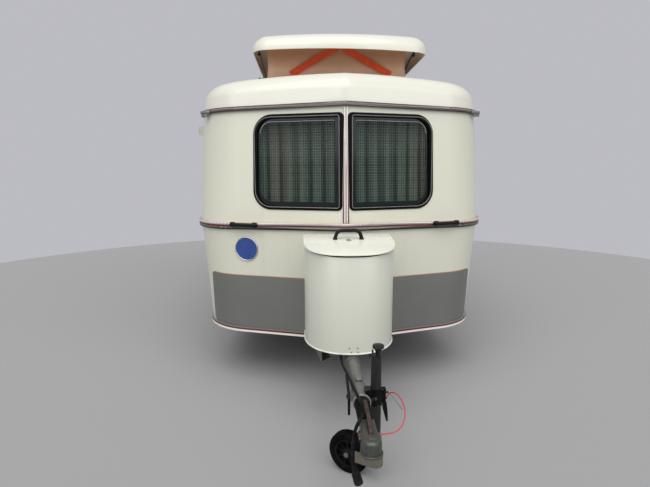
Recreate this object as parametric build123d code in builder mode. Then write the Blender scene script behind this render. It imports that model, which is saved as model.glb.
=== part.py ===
"""Small touring caravan with a pop-up roof, in millimetres.

+Z is up, the drawbar points to -Y and the entrance door is on -X. The origin is on the ground
under the middle of the overall length."""
from build123d import *
from math import asin, atan, cos, degrees, hypot, pi, radians, sin, tan
import os

os.makedirs("parts", exist_ok=True)

# ---------------------------------------------------------------- driving dimensions
LENGTH = 4740                      # coupling nose to the rear of the belt rail
NOSE_REACH = 1262                  # coupling nose to the front centre of the belt rail
PROW_Y = -LENGTH / 2 + NOSE_REACH  # front centre of the belt rail
STERN_Y = LENGTH / 2               # rear centre of the belt rail
BELT_HALF = 1000                   # half the overall width, over the belt rail
RAIL_PROUD = 18                    # how far the rails stand off the skin
WALL = 28                          # sandwich wall
V_FRONT = 0.30                     # slope of the V-shaped front in plan, radians
V_REAR = 0.16
CORNER_FRONT = 380                 # plan radius of the body corners
CORNER_REAR = 330

SILL_Z, BELT_Z, GUTTER_Z, ROOF_Z = 352, 1079, 1810, 2095
AXLE_Y = PROW_Y + 1850
WHEEL_R, TYRE_W, TRACK_HALF = 289, 155, 850
HUB_Z = WHEEL_R
STUB_R = 17.5                      # stub axle; the hub's bore is 0.05 larger
DRAWBAR_Z = 404                    # axis of the drawbar tube and the coupling
TUBE_R = 35
LEG_TOP = 440                      # top of the chassis, underside of the floor
FLOOR_T = 26
GAP = 6                            # round doors and lids


def front(distance):
    """Y of a point `distance` behind the front centre of the belt rail."""
    return PROW_Y + distance


# the outer skin: height, half width, set back of the front centre, set in of the rear centre
LEVELS = {
    "sill": (SILL_Z, 928, 48, 40),
    "belt": (BELT_Z, BELT_HALF - RAIL_PROUD, RAIL_PROUD, RAIL_PROUD),
    "gutter": (GUTTER_Z, 944, 63, 60),
}


# ---------------------------------------------------------------- shared forms
def plan(half, nose, tail, inset=0):
    """Plan of the body: a V front and rear with rounded corners, `inset` inside the skin."""
    w = half - inset
    a = PROW_Y + nose + inset / cos(V_FRONT)
    b = STERN_Y - tail - inset / cos(V_REAR)
    with BuildSketch() as face:
        with BuildLine():
            Polyline((0, a), (w, a + w * tan(V_FRONT)), (w, b - w * tan(V_REAR)), (0, b),
                     (-w, b - w * tan(V_REAR)), (-w, a + w * tan(V_FRONT)), close=True)
        make_face()
        fillet(face.vertices().filter_by(lambda v: abs(v.X) > 1).sort_by(Axis.Y)[:2], CORNER_FRONT - inset)
        fillet(face.vertices().filter_by(lambda v: abs(v.X) > 1).sort_by(Axis.Y)[-2:], CORNER_REAR - inset)
    return face.sketch


def hull(inset):
    """The body below the roof as one closed solid, `inset` inside its outer skin."""
    with BuildPart() as block:
        for low, high in (("sill", "belt"), ("belt", "gutter")):
            for level in (low, high):
                z, half, nose, tail = LEVELS[level]
                with BuildSketch(Plane.XY.offset(z)):
                    add(plan(half, nose, tail, inset))
            loft(ruled=True)
    return block.part


def box(x0, x1, y0, y1, z0, z1):
    """A plain block between two corners."""
    with BuildPart() as block:
        with BuildSketch(Plane.XY.offset(z0)):
            with Locations(((x0 + x1) / 2, (y0 + y1) / 2)):
                Rectangle(x1 - x0, y1 - y0)
        extrude(amount=z1 - z0)
    return block.part


def crown(width, length, z, sag_x, sag_y, y_mid, depth):
    """A dome top curved across and along, down to `depth` below its highest point."""
    swing_r = (length / 2) ** 2 / (2 * sag_y)
    swing = degrees(asin(length / 2 / swing_r))
    axis = Axis((0, y_mid, z - swing_r), (1, 0, 0))
    with BuildPart() as block:
        with BuildSketch(Plane.XZ.offset(-y_mid)):
            with BuildLine():
                ThreePointArc((-width / 2, z - sag_x), (0, z), (width / 2, z - sag_x))
                Polyline((width / 2, z - sag_x), (width / 2, z - depth), (-width / 2, z - depth),
                         (-width / 2, z - sag_x))
            make_face()
        revolve(axis=axis, revolution_arc=2 * swing)
    return block.part.rotate(axis, -swing)


def finish(piece, name):
    """Label a piece and write it."""
    piece.part.label = name
    export_step(piece.part, f"parts/{name}.step")


# ---------------------------------------------------------------- windows
# Each flat wall panel above the belt has a plane on its outer skin, with z outwards and y up.
def wall_plane(panel):
    rise = GUTTER_Z - BELT_Z
    lean_x = LEVELS["belt"][1] - LEVELS["gutter"][1]
    if panel == "front":           # x runs from the centre line to +X
        up = Vector(0, LEVELS["gutter"][2] - LEVELS["belt"][2], rise)
        origin, along = (0, PROW_Y + LEVELS["belt"][2], BELT_Z), Vector(cos(V_FRONT), sin(V_FRONT), 0)
    elif panel == "rear":          # x runs from +X to the centre line
        up = Vector(0, LEVELS["belt"][3] - LEVELS["gutter"][3], rise)
        origin, along = (0, STERN_Y - LEVELS["belt"][3], BELT_Z), Vector(-cos(V_REAR), sin(V_REAR), 0)
    elif panel == "right":         # x is +Y
        up, origin, along = Vector(-lean_x, 0, rise), (LEVELS["belt"][1], 0, BELT_Z), Vector(0, 1, 0)
    else:                          # left, x is -Y
        up, origin, along = Vector(lean_x, 0, rise), (-LEVELS["belt"][1], 0, BELT_Z), Vector(0, -1, 0)
    return Plane(origin, x_dir=along, z_dir=along.cross(up))


# name: panel, x from, x to, height above the belt rail's middle from, to, radius at x from, at x to
WINDOWS = {
    "front": ("front", 24, 604, 98, 686, 30, 120),
    "rear": ("rear", -560, -24, 150, 640, 110, 30),
    "right_fore": ("right", front(800), front(1400), 120, 620, 70, 70),
    "right_aft": ("right", front(1560), front(2700), 120, 620, 70, 70),
    "left_aft": ("left", -front(2700), -front(1560), 120, 620, 70, 70),
    "door": ("left", -front(1210), -front(800), 150, 600, 60, 60),
}
SEAL_W, SEAL_PROUD, SEAL_LAP, GLASS_LAP = 24, 5, 8, 15
GLASS_T, GLASS_DEPTH = 4, 12


def pane(window, inset):
    """Face of a window's outline on the wall's outer skin, `inset` inside its seal's edge."""
    panel, x0, x1, y0, y1, r0, r1 = WINDOWS[window]
    with BuildSketch() as face:
        with BuildLine():
            Polyline((x0 + inset, y0 + inset), (x1 - inset, y0 + inset),
                     (x1 - inset, y1 - inset), (x0 + inset, y1 - inset), close=True)
        make_face()
        fillet(face.vertices().group_by(Axis.X)[-1], max(r1 - inset, 4))
        fillet(face.vertices().group_by(Axis.X)[0], max(r0 - inset, 4))
    return face.sketch


def slab(window, inset, depth_from, depth_to):
    """A window's outline as a slab between two depths below the skin."""
    plane = wall_plane(WINDOWS[window][0])
    with BuildPart() as block:
        with BuildSketch(plane.offset(-depth_to)):
            add(pane(window, inset))
        extrude(amount=depth_to - depth_from)
    return block.part


def opening(window):
    return slab(window, SEAL_LAP, -30, WALL + 30)


def glass(window):
    return slab(window, GLASS_LAP, GLASS_DEPTH, GLASS_DEPTH + GLASS_T)


def seal(window):
    with BuildPart() as ring:
        add(slab(window, 0, -SEAL_PROUD, 0))
        add(slab(window, SEAL_LAP, 0, WALL))
        add(slab(window, SEAL_W, -SEAL_PROUD - 1, WALL + 1), mode=Mode.SUBTRACT)
        add(glass(window), mode=Mode.SUBTRACT)
    return ring.part


def drape(window):
    return slab(window, -14, WALL + 10, WALL + 20)


def skin_half(z):
    """Half width of the body's skin at a height between the sill and the belt."""
    share = (z - SILL_Z) / (BELT_Z - SILL_Z)
    return LEVELS["sill"][1] + share * (LEVELS["belt"][1] - LEVELS["sill"][1])


def both_sides(shape):
    """A shape with its mirror image across the centre plane."""
    with BuildPart() as pair:
        add(shape)
        add(shape.mirror(Plane.YZ))
    return pair.part


# ---------------------------------------------------------------- body walls
SEAM_FRONT = front(640)            # where the front and the side panels meet
SEAM_REAR = STERN_Y - 520
DOOR_Y0, DOOR_Y1 = front(720), front(1290)
DOOR_Z0, DOOR_Z1 = 424, 1762
ARCH_R = 345
NOTCH_HALF = 240                   # half width of the notch over the drawbar

skin_outer, skin_inner = hull(0), hull(WALL)
with BuildPart() as shell:
    add(skin_outer)
    add(skin_inner, mode=Mode.SUBTRACT)

with BuildPart() as front_wall:
    add(shell.part)
    add(box(-1100, 1100, PROW_Y - 100, SEAM_FRONT, 0, 2000), mode=Mode.INTERSECT)
    add(both_sides(opening("front")), mode=Mode.SUBTRACT)
    # the drawbar legs and tube pass under the wall in a notch
    add(box(-NOTCH_HALF, NOTCH_HALF, PROW_Y - 100, front(300), 0, LEG_TOP + 1), mode=Mode.SUBTRACT)
finish(front_wall, "front_wall")

with BuildPart() as rear_wall:
    add(shell.part)
    add(box(-1100, 1100, SEAM_REAR, STERN_Y + 100, 0, 2000), mode=Mode.INTERSECT)
    add(both_sides(opening("rear")), mode=Mode.SUBTRACT)
finish(rear_wall, "rear_wall")


def arch(radius, x0, x1):
    """A wheel arch's round-topped space, between two X positions."""
    with BuildPart() as block:
        with BuildSketch(Plane.YZ.offset(x0)):
            with Locations((AXLE_Y, HUB_Z)):
                Circle(radius)
            with Locations((AXLE_Y, HUB_Z / 2)):
                Rectangle(2 * radius, HUB_Z)
        extrude(amount=x1 - x0)
    return block.part


with BuildPart() as side_wall_right:
    add(shell.part)
    add(box(0, 1100, SEAM_FRONT, SEAM_REAR, 0, 2000), mode=Mode.INTERSECT)
    add(opening("right_fore"), mode=Mode.SUBTRACT)
    add(opening("right_aft"), mode=Mode.SUBTRACT)
    add(arch(ARCH_R, 700, 1100), mode=Mode.SUBTRACT)
finish(side_wall_right, "side_wall_right")


def door_blank(grow):
    """The door's outline as a block through the wall, `grow` larger all round."""
    with BuildPart() as block:
        with BuildSketch(Plane.YZ.offset(-1100)):
            with Locations(((DOOR_Y0 + DOOR_Y1) / 2, (DOOR_Z0 + DOOR_Z1) / 2)):
                RectangleRounded(DOOR_Y1 - DOOR_Y0 + 2 * grow, DOOR_Z1 - DOOR_Z0 + 2 * grow, 60 + grow)
        extrude(amount=300)
    return block.part


with BuildPart() as side_wall_left:
    add(shell.part)
    add(box(-1100, 0, SEAM_FRONT, SEAM_REAR, 0, 2000), mode=Mode.INTERSECT)
    add(opening("left_aft"), mode=Mode.SUBTRACT)
    add(arch(ARCH_R, -1100, -700), mode=Mode.SUBTRACT)
    add(door_blank(GAP), mode=Mode.SUBTRACT)
finish(side_wall_left, "side_wall_left")

with BuildPart() as entrance_door:
    add(shell.part)
    add(door_blank(0), mode=Mode.INTERSECT)
    add(opening("door"), mode=Mode.SUBTRACT)
finish(entrance_door, "entrance_door")

# ---------------------------------------------------------------- door hinges and handle
# The hinges stand off the walls, so that the door swings clear of the belt rail.
HINGE_X, HINGE_Y = -1006, front(717)
HINGE_HEIGHTS = (1000, 1700)
KNUCKLE_R, KNUCKLE_HALF, KNUCKLE_GAP, HINGE_HALF = 6, 12, 1, 30
SKIN_DEPTH = 70                    # from the pin to inside the skin at either hinge
LEAF_NEAR, LEAF_FAR = 7, 50        # a leaf's foot on the wall, measured along Y from the pin


def hinge_arm(side, z0, z1):
    """Arm from the pin to the wall's skin, towards the door (1) or the wall (-1)."""
    with BuildPart() as arm:
        with BuildSketch(Plane.XY.offset(z0)):
            with Locations((HINGE_X, HINGE_Y)):
                Circle(KNUCKLE_R)
            with Locations((HINGE_X + SKIN_DEPTH - 10, HINGE_Y + side * (LEAF_NEAR + LEAF_FAR) / 2)):
                Rectangle(20, LEAF_FAR - LEAF_NEAR)
            make_hull()
        extrude(amount=z1 - z0)
        add(skin_outer, mode=Mode.SUBTRACT)
    return arm.part


with BuildPart() as wall_hinge_leaves:
    for z in HINGE_HEIGHTS:
        add(hinge_arm(-1, z - HINGE_HALF, z + HINGE_HALF))
        gap = KNUCKLE_HALF + KNUCKLE_GAP
        add(box(HINGE_X - 20, HINGE_X + SKIN_DEPTH, HINGE_Y - 2 * LEAF_NEAR, HINGE_Y + 20, z - gap, z + gap),
            mode=Mode.SUBTRACT)
finish(wall_hinge_leaves, "wall_hinge_leaves")

HANDLE_Y, HANDLE_Z = DOOR_Y1 - 70, 985
HANDLE_LEN, HANDLE_H, GRIP_STANDOFF, POST = 112, 34, 26, 12
LOCK_R, LOCK_PROUD = 13, 12
with BuildPart() as door_furniture:
    for z in HINGE_HEIGHTS:
        add(hinge_arm(1, z - KNUCKLE_HALF, z + KNUCKLE_HALF))
    # base plate of the handle, two posts, the grip and the lock's boss
    skin_x = -skin_half(HANDLE_Z)
    with BuildSketch(Plane.YZ.offset(skin_x - 5)):
        with Locations((HANDLE_Y, HANDLE_Z)):
            RectangleRounded(HANDLE_LEN, HANDLE_H, 10)
    extrude(amount=POST)
    with BuildSketch(Plane.YZ.offset(skin_x - GRIP_STANDOFF)):
        with Locations((HANDLE_Y - HANDLE_LEN / 2 + POST, HANDLE_Z), (HANDLE_Y + HANDLE_LEN / 2 - POST, HANDLE_Z)):
            Rectangle(POST, POST)
    extrude(amount=GRIP_STANDOFF)
    with BuildSketch(Plane.YZ.offset(skin_x - GRIP_STANDOFF - 4)):
        with Locations((HANDLE_Y, HANDLE_Z)):
            SlotOverall(HANDLE_LEN - 4, 20)
    extrude(amount=11)
    fillet(faces().sort_by(Axis.X)[0].edges(), 4)
    with BuildSketch(Plane.YZ.offset(skin_x - LOCK_PROUD)):
        with Locations((HANDLE_Y, HANDLE_Z - HANDLE_H / 2 - 10)):
            Circle(LOCK_R)
    extrude(amount=2 * LOCK_PROUD)
    add(skin_outer, mode=Mode.SUBTRACT)
finish(door_furniture, "door_furniture")

# ---------------------------------------------------------------- floor and wheel boxes
BOX_HALF_Y, BOX_X, BOX_TOP, BOX_T = 372, 742, 690, 10
with BuildPart() as floor:
    z, half, nose, tail = LEVELS["sill"]
    with BuildSketch(Plane.XY.offset(LEG_TOP)):
        add(plan(half, nose, tail, WALL + 3))
        for s in (1, -1):
            with Locations((s * (BOX_X + 150), AXLE_Y)):
                Rectangle(300, 2 * BOX_HALF_Y, mode=Mode.SUBTRACT)
    extrude(amount=FLOOR_T)
finish(floor, "floor")

with BuildPart() as wheel_boxes:
    add(box(BOX_X, 960, AXLE_Y - BOX_HALF_Y, AXLE_Y + BOX_HALF_Y, SILL_Z, BOX_TOP))
    add(box(BOX_X + BOX_T, 970, AXLE_Y - BOX_HALF_Y + BOX_T, AXLE_Y + BOX_HALF_Y - BOX_T,
            SILL_Z - 1, BOX_TOP - BOX_T), mode=Mode.SUBTRACT)
    add(skin_inner, mode=Mode.INTERSECT)
    mirror(about=Plane.YZ)
finish(wheel_boxes, "wheel_boxes")

# ---------------------------------------------------------------- roof
ROOF_EDGE_R, ROOF_T = 150, 22
ROOF_MID_Y = (PROW_Y + STERN_Y) / 2
HATCH_HALF, HATCH_Y0, HATCH_Y1 = 500, front(900), front(2480)
COAMING_T, COAMING_TOP = 22, 2112


def dome(inset):
    """The roof above the gutter as one closed solid, `inset` inside its outer skin."""
    z, half, nose, tail = LEVELS["gutter"]
    top = ROOF_Z - inset
    with BuildPart() as block:
        with BuildSketch(Plane.XY.offset(z)):
            add(plan(half, nose, tail, inset))
        with BuildSketch(Plane.XY.offset(ROOF_Z + 20)):
            add(plan(half, nose, tail, inset + 45))
        loft(ruled=True)
        add(crown(2 * half + 200, STERN_Y - PROW_Y + 200, top, 85, 88, ROOF_MID_Y, 400),
            mode=Mode.INTERSECT)
        rim = block.edges().filter_by(lambda e: min(v.Z for v in e.vertices()) > z + 100)
        fillet(rim, ROOF_EDGE_R - inset)
    return block.part


with BuildPart() as roof_shell:
    add(dome(0))
    add(dome(ROOF_T), mode=Mode.SUBTRACT)
    add(box(-HATCH_HALF, HATCH_HALF, HATCH_Y0, HATCH_Y1, GUTTER_Z, ROOF_Z + 50), mode=Mode.SUBTRACT)
finish(roof_shell, "roof_shell")

with BuildPart() as hatch_coaming:
    add(box(-HATCH_HALF, HATCH_HALF, HATCH_Y0, HATCH_Y1, ROOF_Z - 90, COAMING_TOP))
    add(box(-HATCH_HALF + COAMING_T, HATCH_HALF - COAMING_T, HATCH_Y0 + COAMING_T,
            HATCH_Y1 - COAMING_T, ROOF_Z - 100, COAMING_TOP + 10), mode=Mode.SUBTRACT)
finish(hatch_coaming, "hatch_coaming")


# ---------------------------------------------------------------- rails round the body
def rail(level, z0, z1, proud):
    """A band round the body at a level, seated on the skin."""
    _, half, nose, tail = LEVELS[level]
    with BuildPart() as band:
        with BuildSketch(Plane.XY.offset(z0)):
            add(plan(half, nose, tail, -proud))
            add(plan(half, nose, tail, 12), mode=Mode.SUBTRACT)
        extrude(amount=z1 - z0)
        add(skin_outer, mode=Mode.SUBTRACT)
    return band.part


def groove(level, z0, z1, proud, depth):
    """The channel round a rail that holds its coloured insert."""
    _, half, nose, tail = LEVELS[level]
    with BuildPart() as channel_ring:
        with BuildSketch(Plane.XY.offset(z0)):
            add(plan(half, nose, tail, -proud - 5))
            add(plan(half, nose, tail, depth - proud), mode=Mode.SUBTRACT)
        extrude(amount=z1 - z0)
    return channel_ring.part


BELT_H, GUTTER_H, SILL_H, SILL_PROUD = 56, 34, 30, 15
GROOVE_D = 3
with BuildPart() as belt_section:
    add(rail("belt", BELT_Z - BELT_H / 2, BELT_Z + BELT_H / 2, RAIL_PROUD))
    add(groove("belt", BELT_Z + 1, BELT_Z + 11, RAIL_PROUD, GROOVE_D), mode=Mode.SUBTRACT)
    add(groove("belt", BELT_Z - 30, BELT_Z - 22, RAIL_PROUD, GROOVE_D + 2), mode=Mode.SUBTRACT)

with BuildPart() as belt_rail:
    add(belt_section.part)
    add(box(-1100, -800, DOOR_Y0 - GAP, DOOR_Y1 + GAP, 1000, 1200), mode=Mode.SUBTRACT)
finish(belt_rail, "belt_rail")

with BuildPart() as door_rail:
    add(belt_section.part)
    add(box(-1100, -800, DOOR_Y0, DOOR_Y1, 1000, 1200), mode=Mode.INTERSECT)
finish(door_rail, "door_rail")

with BuildPart() as gutter_rail:
    add(rail("gutter", GUTTER_Z - GUTTER_H, GUTTER_Z - 1, RAIL_PROUD))
    add(groove("gutter", GUTTER_Z - 17, GUTTER_Z - 9, RAIL_PROUD, GROOVE_D), mode=Mode.SUBTRACT)
finish(gutter_rail, "gutter_rail")

with BuildPart() as sill_rail:
    add(rail("sill", SILL_Z, SILL_Z + SILL_H, SILL_PROUD))
    add(groove("sill", SILL_Z + 15, SILL_Z + 23, SILL_PROUD, GROOVE_D), mode=Mode.SUBTRACT)
    add(arch(ARCH_R, -1100, 1100), mode=Mode.SUBTRACT)
    add(box(-NOTCH_HALF, NOTCH_HALF, PROW_Y - 100, front(300), 0, LEG_TOP), mode=Mode.SUBTRACT)
finish(sill_rail, "sill_rail")

STRIP_W, STRIP_T = 36, 8
with BuildPart() as centre_strips:
    for panel, side in (("front", 1), ("rear", -1)):
        with BuildSketch(wall_plane(panel)):
            with Locations((side * STRIP_W / 4, (BELT_H / 2 + GUTTER_Z - BELT_Z - GUTTER_H) / 2)):
                Rectangle(STRIP_W / 2, GUTTER_Z - BELT_Z - GUTTER_H - BELT_H / 2 - 2)
        extrude(amount=STRIP_T)
    mirror(about=Plane.YZ)
finish(centre_strips, "centre_strips")

# ---------------------------------------------------------------- stone guard
GUARD_T, GUARD_TOP, GUARD_HALF = 3, 742, 890
with BuildPart() as stone_guard:
    add(hull(-GUARD_T))
    add(skin_outer, mode=Mode.SUBTRACT)
    with BuildSketch(Plane.XZ.offset(-PROW_Y + 50)):
        with Locations((0, (SILL_Z + SILL_H + GUARD_TOP) / 2 + 1)):
            RectangleRounded(2 * GUARD_HALF, GUARD_TOP - SILL_Z - SILL_H, 28)
    extrude(amount=-500, mode=Mode.INTERSECT)
    add(box(-NOTCH_HALF, NOTCH_HALF, PROW_Y - 100, front(300), 0, LEG_TOP), mode=Mode.SUBTRACT)
finish(stone_guard, "stone_guard")

# ---------------------------------------------------------------- glass, seals, curtains
with BuildPart() as front_windows:
    add(both_sides(glass("front")))
finish(front_windows, "front_windows")

with BuildPart() as side_windows:
    for window in ("right_fore", "right_aft", "left_aft"):
        add(glass(window))
finish(side_windows, "side_windows")

with BuildPart() as rear_windows:
    add(both_sides(glass("rear")))
finish(rear_windows, "rear_windows")

with BuildPart() as door_window:
    add(glass("door"))
finish(door_window, "door_window")

with BuildPart() as window_seals:
    add(both_sides(seal("front")))
    add(both_sides(seal("rear")))
    for window in ("right_fore", "right_aft", "left_aft"):
        add(seal(window))
finish(window_seals, "window_seals")

with BuildPart() as door_seal:
    add(seal("door"))
finish(door_seal, "door_seal")

with BuildPart() as curtains:
    add(both_sides(drape("front")))
    add(both_sides(drape("rear")))
    for window in ("right_fore", "right_aft", "left_aft"):
        add(drape(window))
finish(curtains, "curtains")

# ---------------------------------------------------------------- chassis
LEG_H, LEG_W, LEG_T = 80, 60, 5
# plan points of a leg: parallel under the gas locker, splayed under the floor, then a side rail
LEG_NOSE, LEG_KNEE = (133, front(-330)), (196, front(150))
RAIL_X = 600
LEG_END = front(1120)
RAIL_END = STERN_Y - 260


def channel(start, end, web_side):
    """A C-profile rail between two plan points; web_side is +1 or -1 across its run."""
    dx, dy = end[0] - start[0], end[1] - start[1]
    run = hypot(dx, dy)
    along = Vector(dx / run, dy / run, 0)
    plane = Plane((start[0], start[1], LEG_TOP - LEG_H / 2), x_dir=along.cross(Vector(0, 0, 1)),
                  z_dir=along)
    with BuildPart() as profile:
        with BuildSketch(plane):
            Rectangle(LEG_W, LEG_H)
            with Locations((-web_side * LEG_T, 0)):
                Rectangle(LEG_W, LEG_H - 2 * LEG_T, mode=Mode.SUBTRACT)
        extrude(amount=run)
    return profile.part


def leg_x(y):
    """Centre of a leg or rail at a Y."""
    if y < LEG_KNEE[1]:
        start, end = LEG_NOSE, LEG_KNEE
    else:
        start, end = LEG_KNEE, (RAIL_X, LEG_END)
    return min(RAIL_X, start[0] + (y - start[1]) * (end[0] - start[0]) / (end[1] - start[1]))


CROSS_Y = (front(560), front(1480), AXLE_Y + 300, RAIL_END - 30)
BEARER_T = 10
with BuildPart() as chassis:
    add(channel(LEG_NOSE, (LEG_KNEE[0] + 3, LEG_KNEE[1] + 20), 1))
    add(channel(LEG_KNEE, (RAIL_X + 4, LEG_END + 10), 1))
    add(channel((RAIL_X, LEG_END - 8), (RAIL_X, RAIL_END), 1))
    # mitred front end
    with BuildSketch(Plane.XY.offset(LEG_TOP - LEG_H - 1)):
        with BuildLine():
            Polyline((60, front(-400)), (190, front(-400)), (166, front(-328)), (88, front(-246)),
                     (60, front(-246)), close=True)
        make_face()
    extrude(amount=LEG_H + 2, mode=Mode.SUBTRACT)
    mirror(about=Plane.YZ)
    for y in CROSS_Y:
        reach = leg_x(y) - LEG_W / 2 + 2
        add(box(-reach, reach, y - 3, y + 3, LEG_TOP - 72, LEG_TOP - 4))
    # plates that carry the drawbar tube between the legs
    for y in (front(-225), front(130)):
        reach = leg_x(y) - LEG_W / 2 + 3
        add(box(-reach, reach, y - 4, y + 4, LEG_TOP - LEG_H, LEG_TOP))
    # flat bearers under the gas locker
    for y in (front(-250), front(-90)):
        add(box(-215, 215, y - 20, y + 20, LEG_TOP, LEG_TOP + BEARER_T))
    with BuildSketch(Plane.XZ.offset(-front(-700))):
        with Locations((0, DRAWBAR_Z)):
            Circle(TUBE_R + 0.2)
    extrude(amount=front(-700) - front(550), mode=Mode.SUBTRACT)
finish(chassis, "chassis")

# ---------------------------------------------------------------- axle
AXLE_TUBE_Y, AXLE_TUBE_Z, AXLE_TUBE = AXLE_Y - 165, 293, 80
ARM_X, ARM_T, STUB_END = 700, 26, 895
with BuildPart() as axle_beam:
    with BuildSketch(Plane.YZ.offset(-700)):
        with Locations((AXLE_TUBE_Y, AXLE_TUBE_Z)):
            RectangleRounded(AXLE_TUBE, AXLE_TUBE, 12)
            Rectangle(AXLE_TUBE - 12, AXLE_TUBE - 12, mode=Mode.SUBTRACT)
    extrude(amount=1400)
    # brackets under the rails
    for s in (1, -1):
        with BuildSketch(Plane.YZ.offset(s * RAIL_X - 5)):
            with BuildLine():
                Polyline((AXLE_TUBE_Y - 120, LEG_TOP - LEG_H), (AXLE_TUBE_Y + 120, LEG_TOP - LEG_H),
                         (AXLE_TUBE_Y + 45, AXLE_TUBE_Z + 39), (AXLE_TUBE_Y - 45, AXLE_TUBE_Z + 39),
                         close=True)
            make_face()
        extrude(amount=10)
        # trailing arm and stub axle
        with BuildSketch(Plane.YZ.offset(s * ARM_X)):
            with Locations((AXLE_TUBE_Y, AXLE_TUBE_Z)):
                Circle(44)
            with Locations((AXLE_Y, HUB_Z)):
                Circle(30)
            make_hull()
        extrude(amount=s * ARM_T)
        with BuildSketch(Plane.YZ.offset(s * (ARM_X + ARM_T))):
            with Locations((AXLE_Y, HUB_Z)):
                Circle(STUB_R)
        extrude(amount=s * (STUB_END - ARM_X - ARM_T))
finish(axle_beam, "axle_beam")

# ---------------------------------------------------------------- road wheels
RIM_R, RIM_W, DRUM_R = 165, 118, 112
BEAD_W = 104


def wheel_plane(s):
    """Plane through a wheel's centre with x outwards and y up, for revolving about its x."""
    return Plane((s * TRACK_HALF, AXLE_Y, HUB_Z), x_dir=(s, 0, 0), z_dir=(0, -s, 0))


for side, s in (("left", -1), ("right", 1)):
    plane = wheel_plane(s)
    axis = Axis((s * TRACK_HALF, AXLE_Y, HUB_Z), (1, 0, 0))
    with BuildPart() as tyre:
        with BuildSketch(plane):
            with BuildLine():
                Polyline((-BEAD_W / 2, RIM_R), (-BEAD_W / 2, RIM_R + 17), (-TYRE_W / 2, RIM_R + 50), (-TYRE_W / 2, WHEEL_R - 45),
                         (-TYRE_W / 2 + 16, WHEEL_R), (TYRE_W / 2 - 16, WHEEL_R),
                         (TYRE_W / 2, WHEEL_R - 45), (TYRE_W / 2, RIM_R + 50), (BEAD_W / 2, RIM_R + 17),
                         (BEAD_W / 2, RIM_R),
                         close=True)
            make_face()
        revolve(axis=axis)
    finish(tyre, f"tyre_{side}")
    with BuildPart() as rim:
        # barrel
        with BuildSketch(plane):
            with BuildLine():
                Polyline((-RIM_W / 2, RIM_R + 14), (-RIM_W / 2, RIM_R - 4), (-24, RIM_R - 6),
                         (-18, RIM_R - 22), (18, RIM_R - 22), (24, RIM_R - 6), (RIM_W / 2, RIM_R - 4),
                         (RIM_W / 2, RIM_R + 14), (RIM_W / 2 - 5, RIM_R + 14), (RIM_W / 2 - 6, RIM_R - 0.2),
                         (20, RIM_R - 0.2), (14, RIM_R - 17), (-14, RIM_R - 17), (-20, RIM_R - 0.2),
                         (-RIM_W / 2 + 6, RIM_R - 0.2), (-RIM_W / 2 + 5, RIM_R + 14), close=True)
            make_face()
        revolve(axis=axis)
        # dished disc and hub cap
        with BuildSketch(plane):
            with BuildLine():
                Polyline((4, RIM_R - 20), (34, 118), (34, 92), (16, 74), (16, 36), (58, 30), (58, 0),
                         (-70, 0), (-70, 40), (10, 40), (10, 76), (28, 96), (28, 114), (-2, RIM_R - 20),
                         close=True)
            make_face()
        revolve(axis=axis)
        # brake drum
        with BuildSketch(plane):
            with BuildLine():
                Polyline((-95, 0), (-95, DRUM_R), (-40, DRUM_R), (-34, DRUM_R - 10), (-34, 0), close=True)
            make_face()
        revolve(axis=axis)
        # eight slots round the disc
        with BuildSketch(Plane((s * (TRACK_HALF + 70), AXLE_Y, HUB_Z), x_dir=(0, 1, 0), z_dir=(s, 0, 0))):
            with PolarLocations(128, 8):
                SlotOverall(40, 16, rotation=90)
        extrude(amount=-100, mode=Mode.SUBTRACT)
        # bore on the stub axle
        with BuildSketch(Plane((s * (TRACK_HALF - 100), AXLE_Y, HUB_Z), z_dir=(s, 0, 0))):
            Circle(STUB_R + 0.05)
        extrude(amount=STUB_END - TRACK_HALF + 101, mode=Mode.SUBTRACT)
    finish(rim, f"rim_{side}")

# ---------------------------------------------------------------- drawbar tube, bellows, coupling
TUBE_FRONT, TUBE_REAR, TUBE_T = front(-888), front(556), 5
HOUSING_REAR, HOUSING_R = front(-755), 38
BELLOWS_FRONT = front(-1068)
HEAD_REAR, HEAD_NOSE = front(-1069), front(-NOSE_REACH)
BALL_R, BALL_Y = 25, front(-NOSE_REACH + 46)


def along_drawbar(y):
    """Plane across the drawbar at a Y, with x to +X, y up and z forward."""
    return Plane((0, y, DRAWBAR_Z), x_dir=(1, 0, 0), z_dir=(0, -1, 0))


with BuildPart() as drawbar_tube:
    # the tube, a weld collar, the cast housing of the overrun brake and the bellows' seat
    for y, length, radius in ((TUBE_REAR, TUBE_REAR - TUBE_FRONT, TUBE_R), (front(-424), 20, TUBE_R + 5),
                              (HOUSING_REAR, 121, HOUSING_R), (front(-876), 12, HOUSING_R + 3)):
        with BuildSketch(along_drawbar(y)):
            Circle(radius)
            Circle(TUBE_R - TUBE_T, mode=Mode.SUBTRACT)
        extrude(amount=length)
    # saddle on top and the brake lever's bracket on the left
    with BuildSketch(Plane.XY.offset(DRAWBAR_Z + TUBE_R - 8)):
        with Locations((2, front(-716))):
            RectangleRounded(32, 60, 8)
    extrude(amount=22)
    fillet(faces().sort_by(Axis.Z)[-1].edges(), 5)
    add(box(-47, -33, front(-842), front(-806), DRAWBAR_Z - 16, DRAWBAR_Z + 18))
finish(drawbar_tube, "drawbar_tube")

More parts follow.
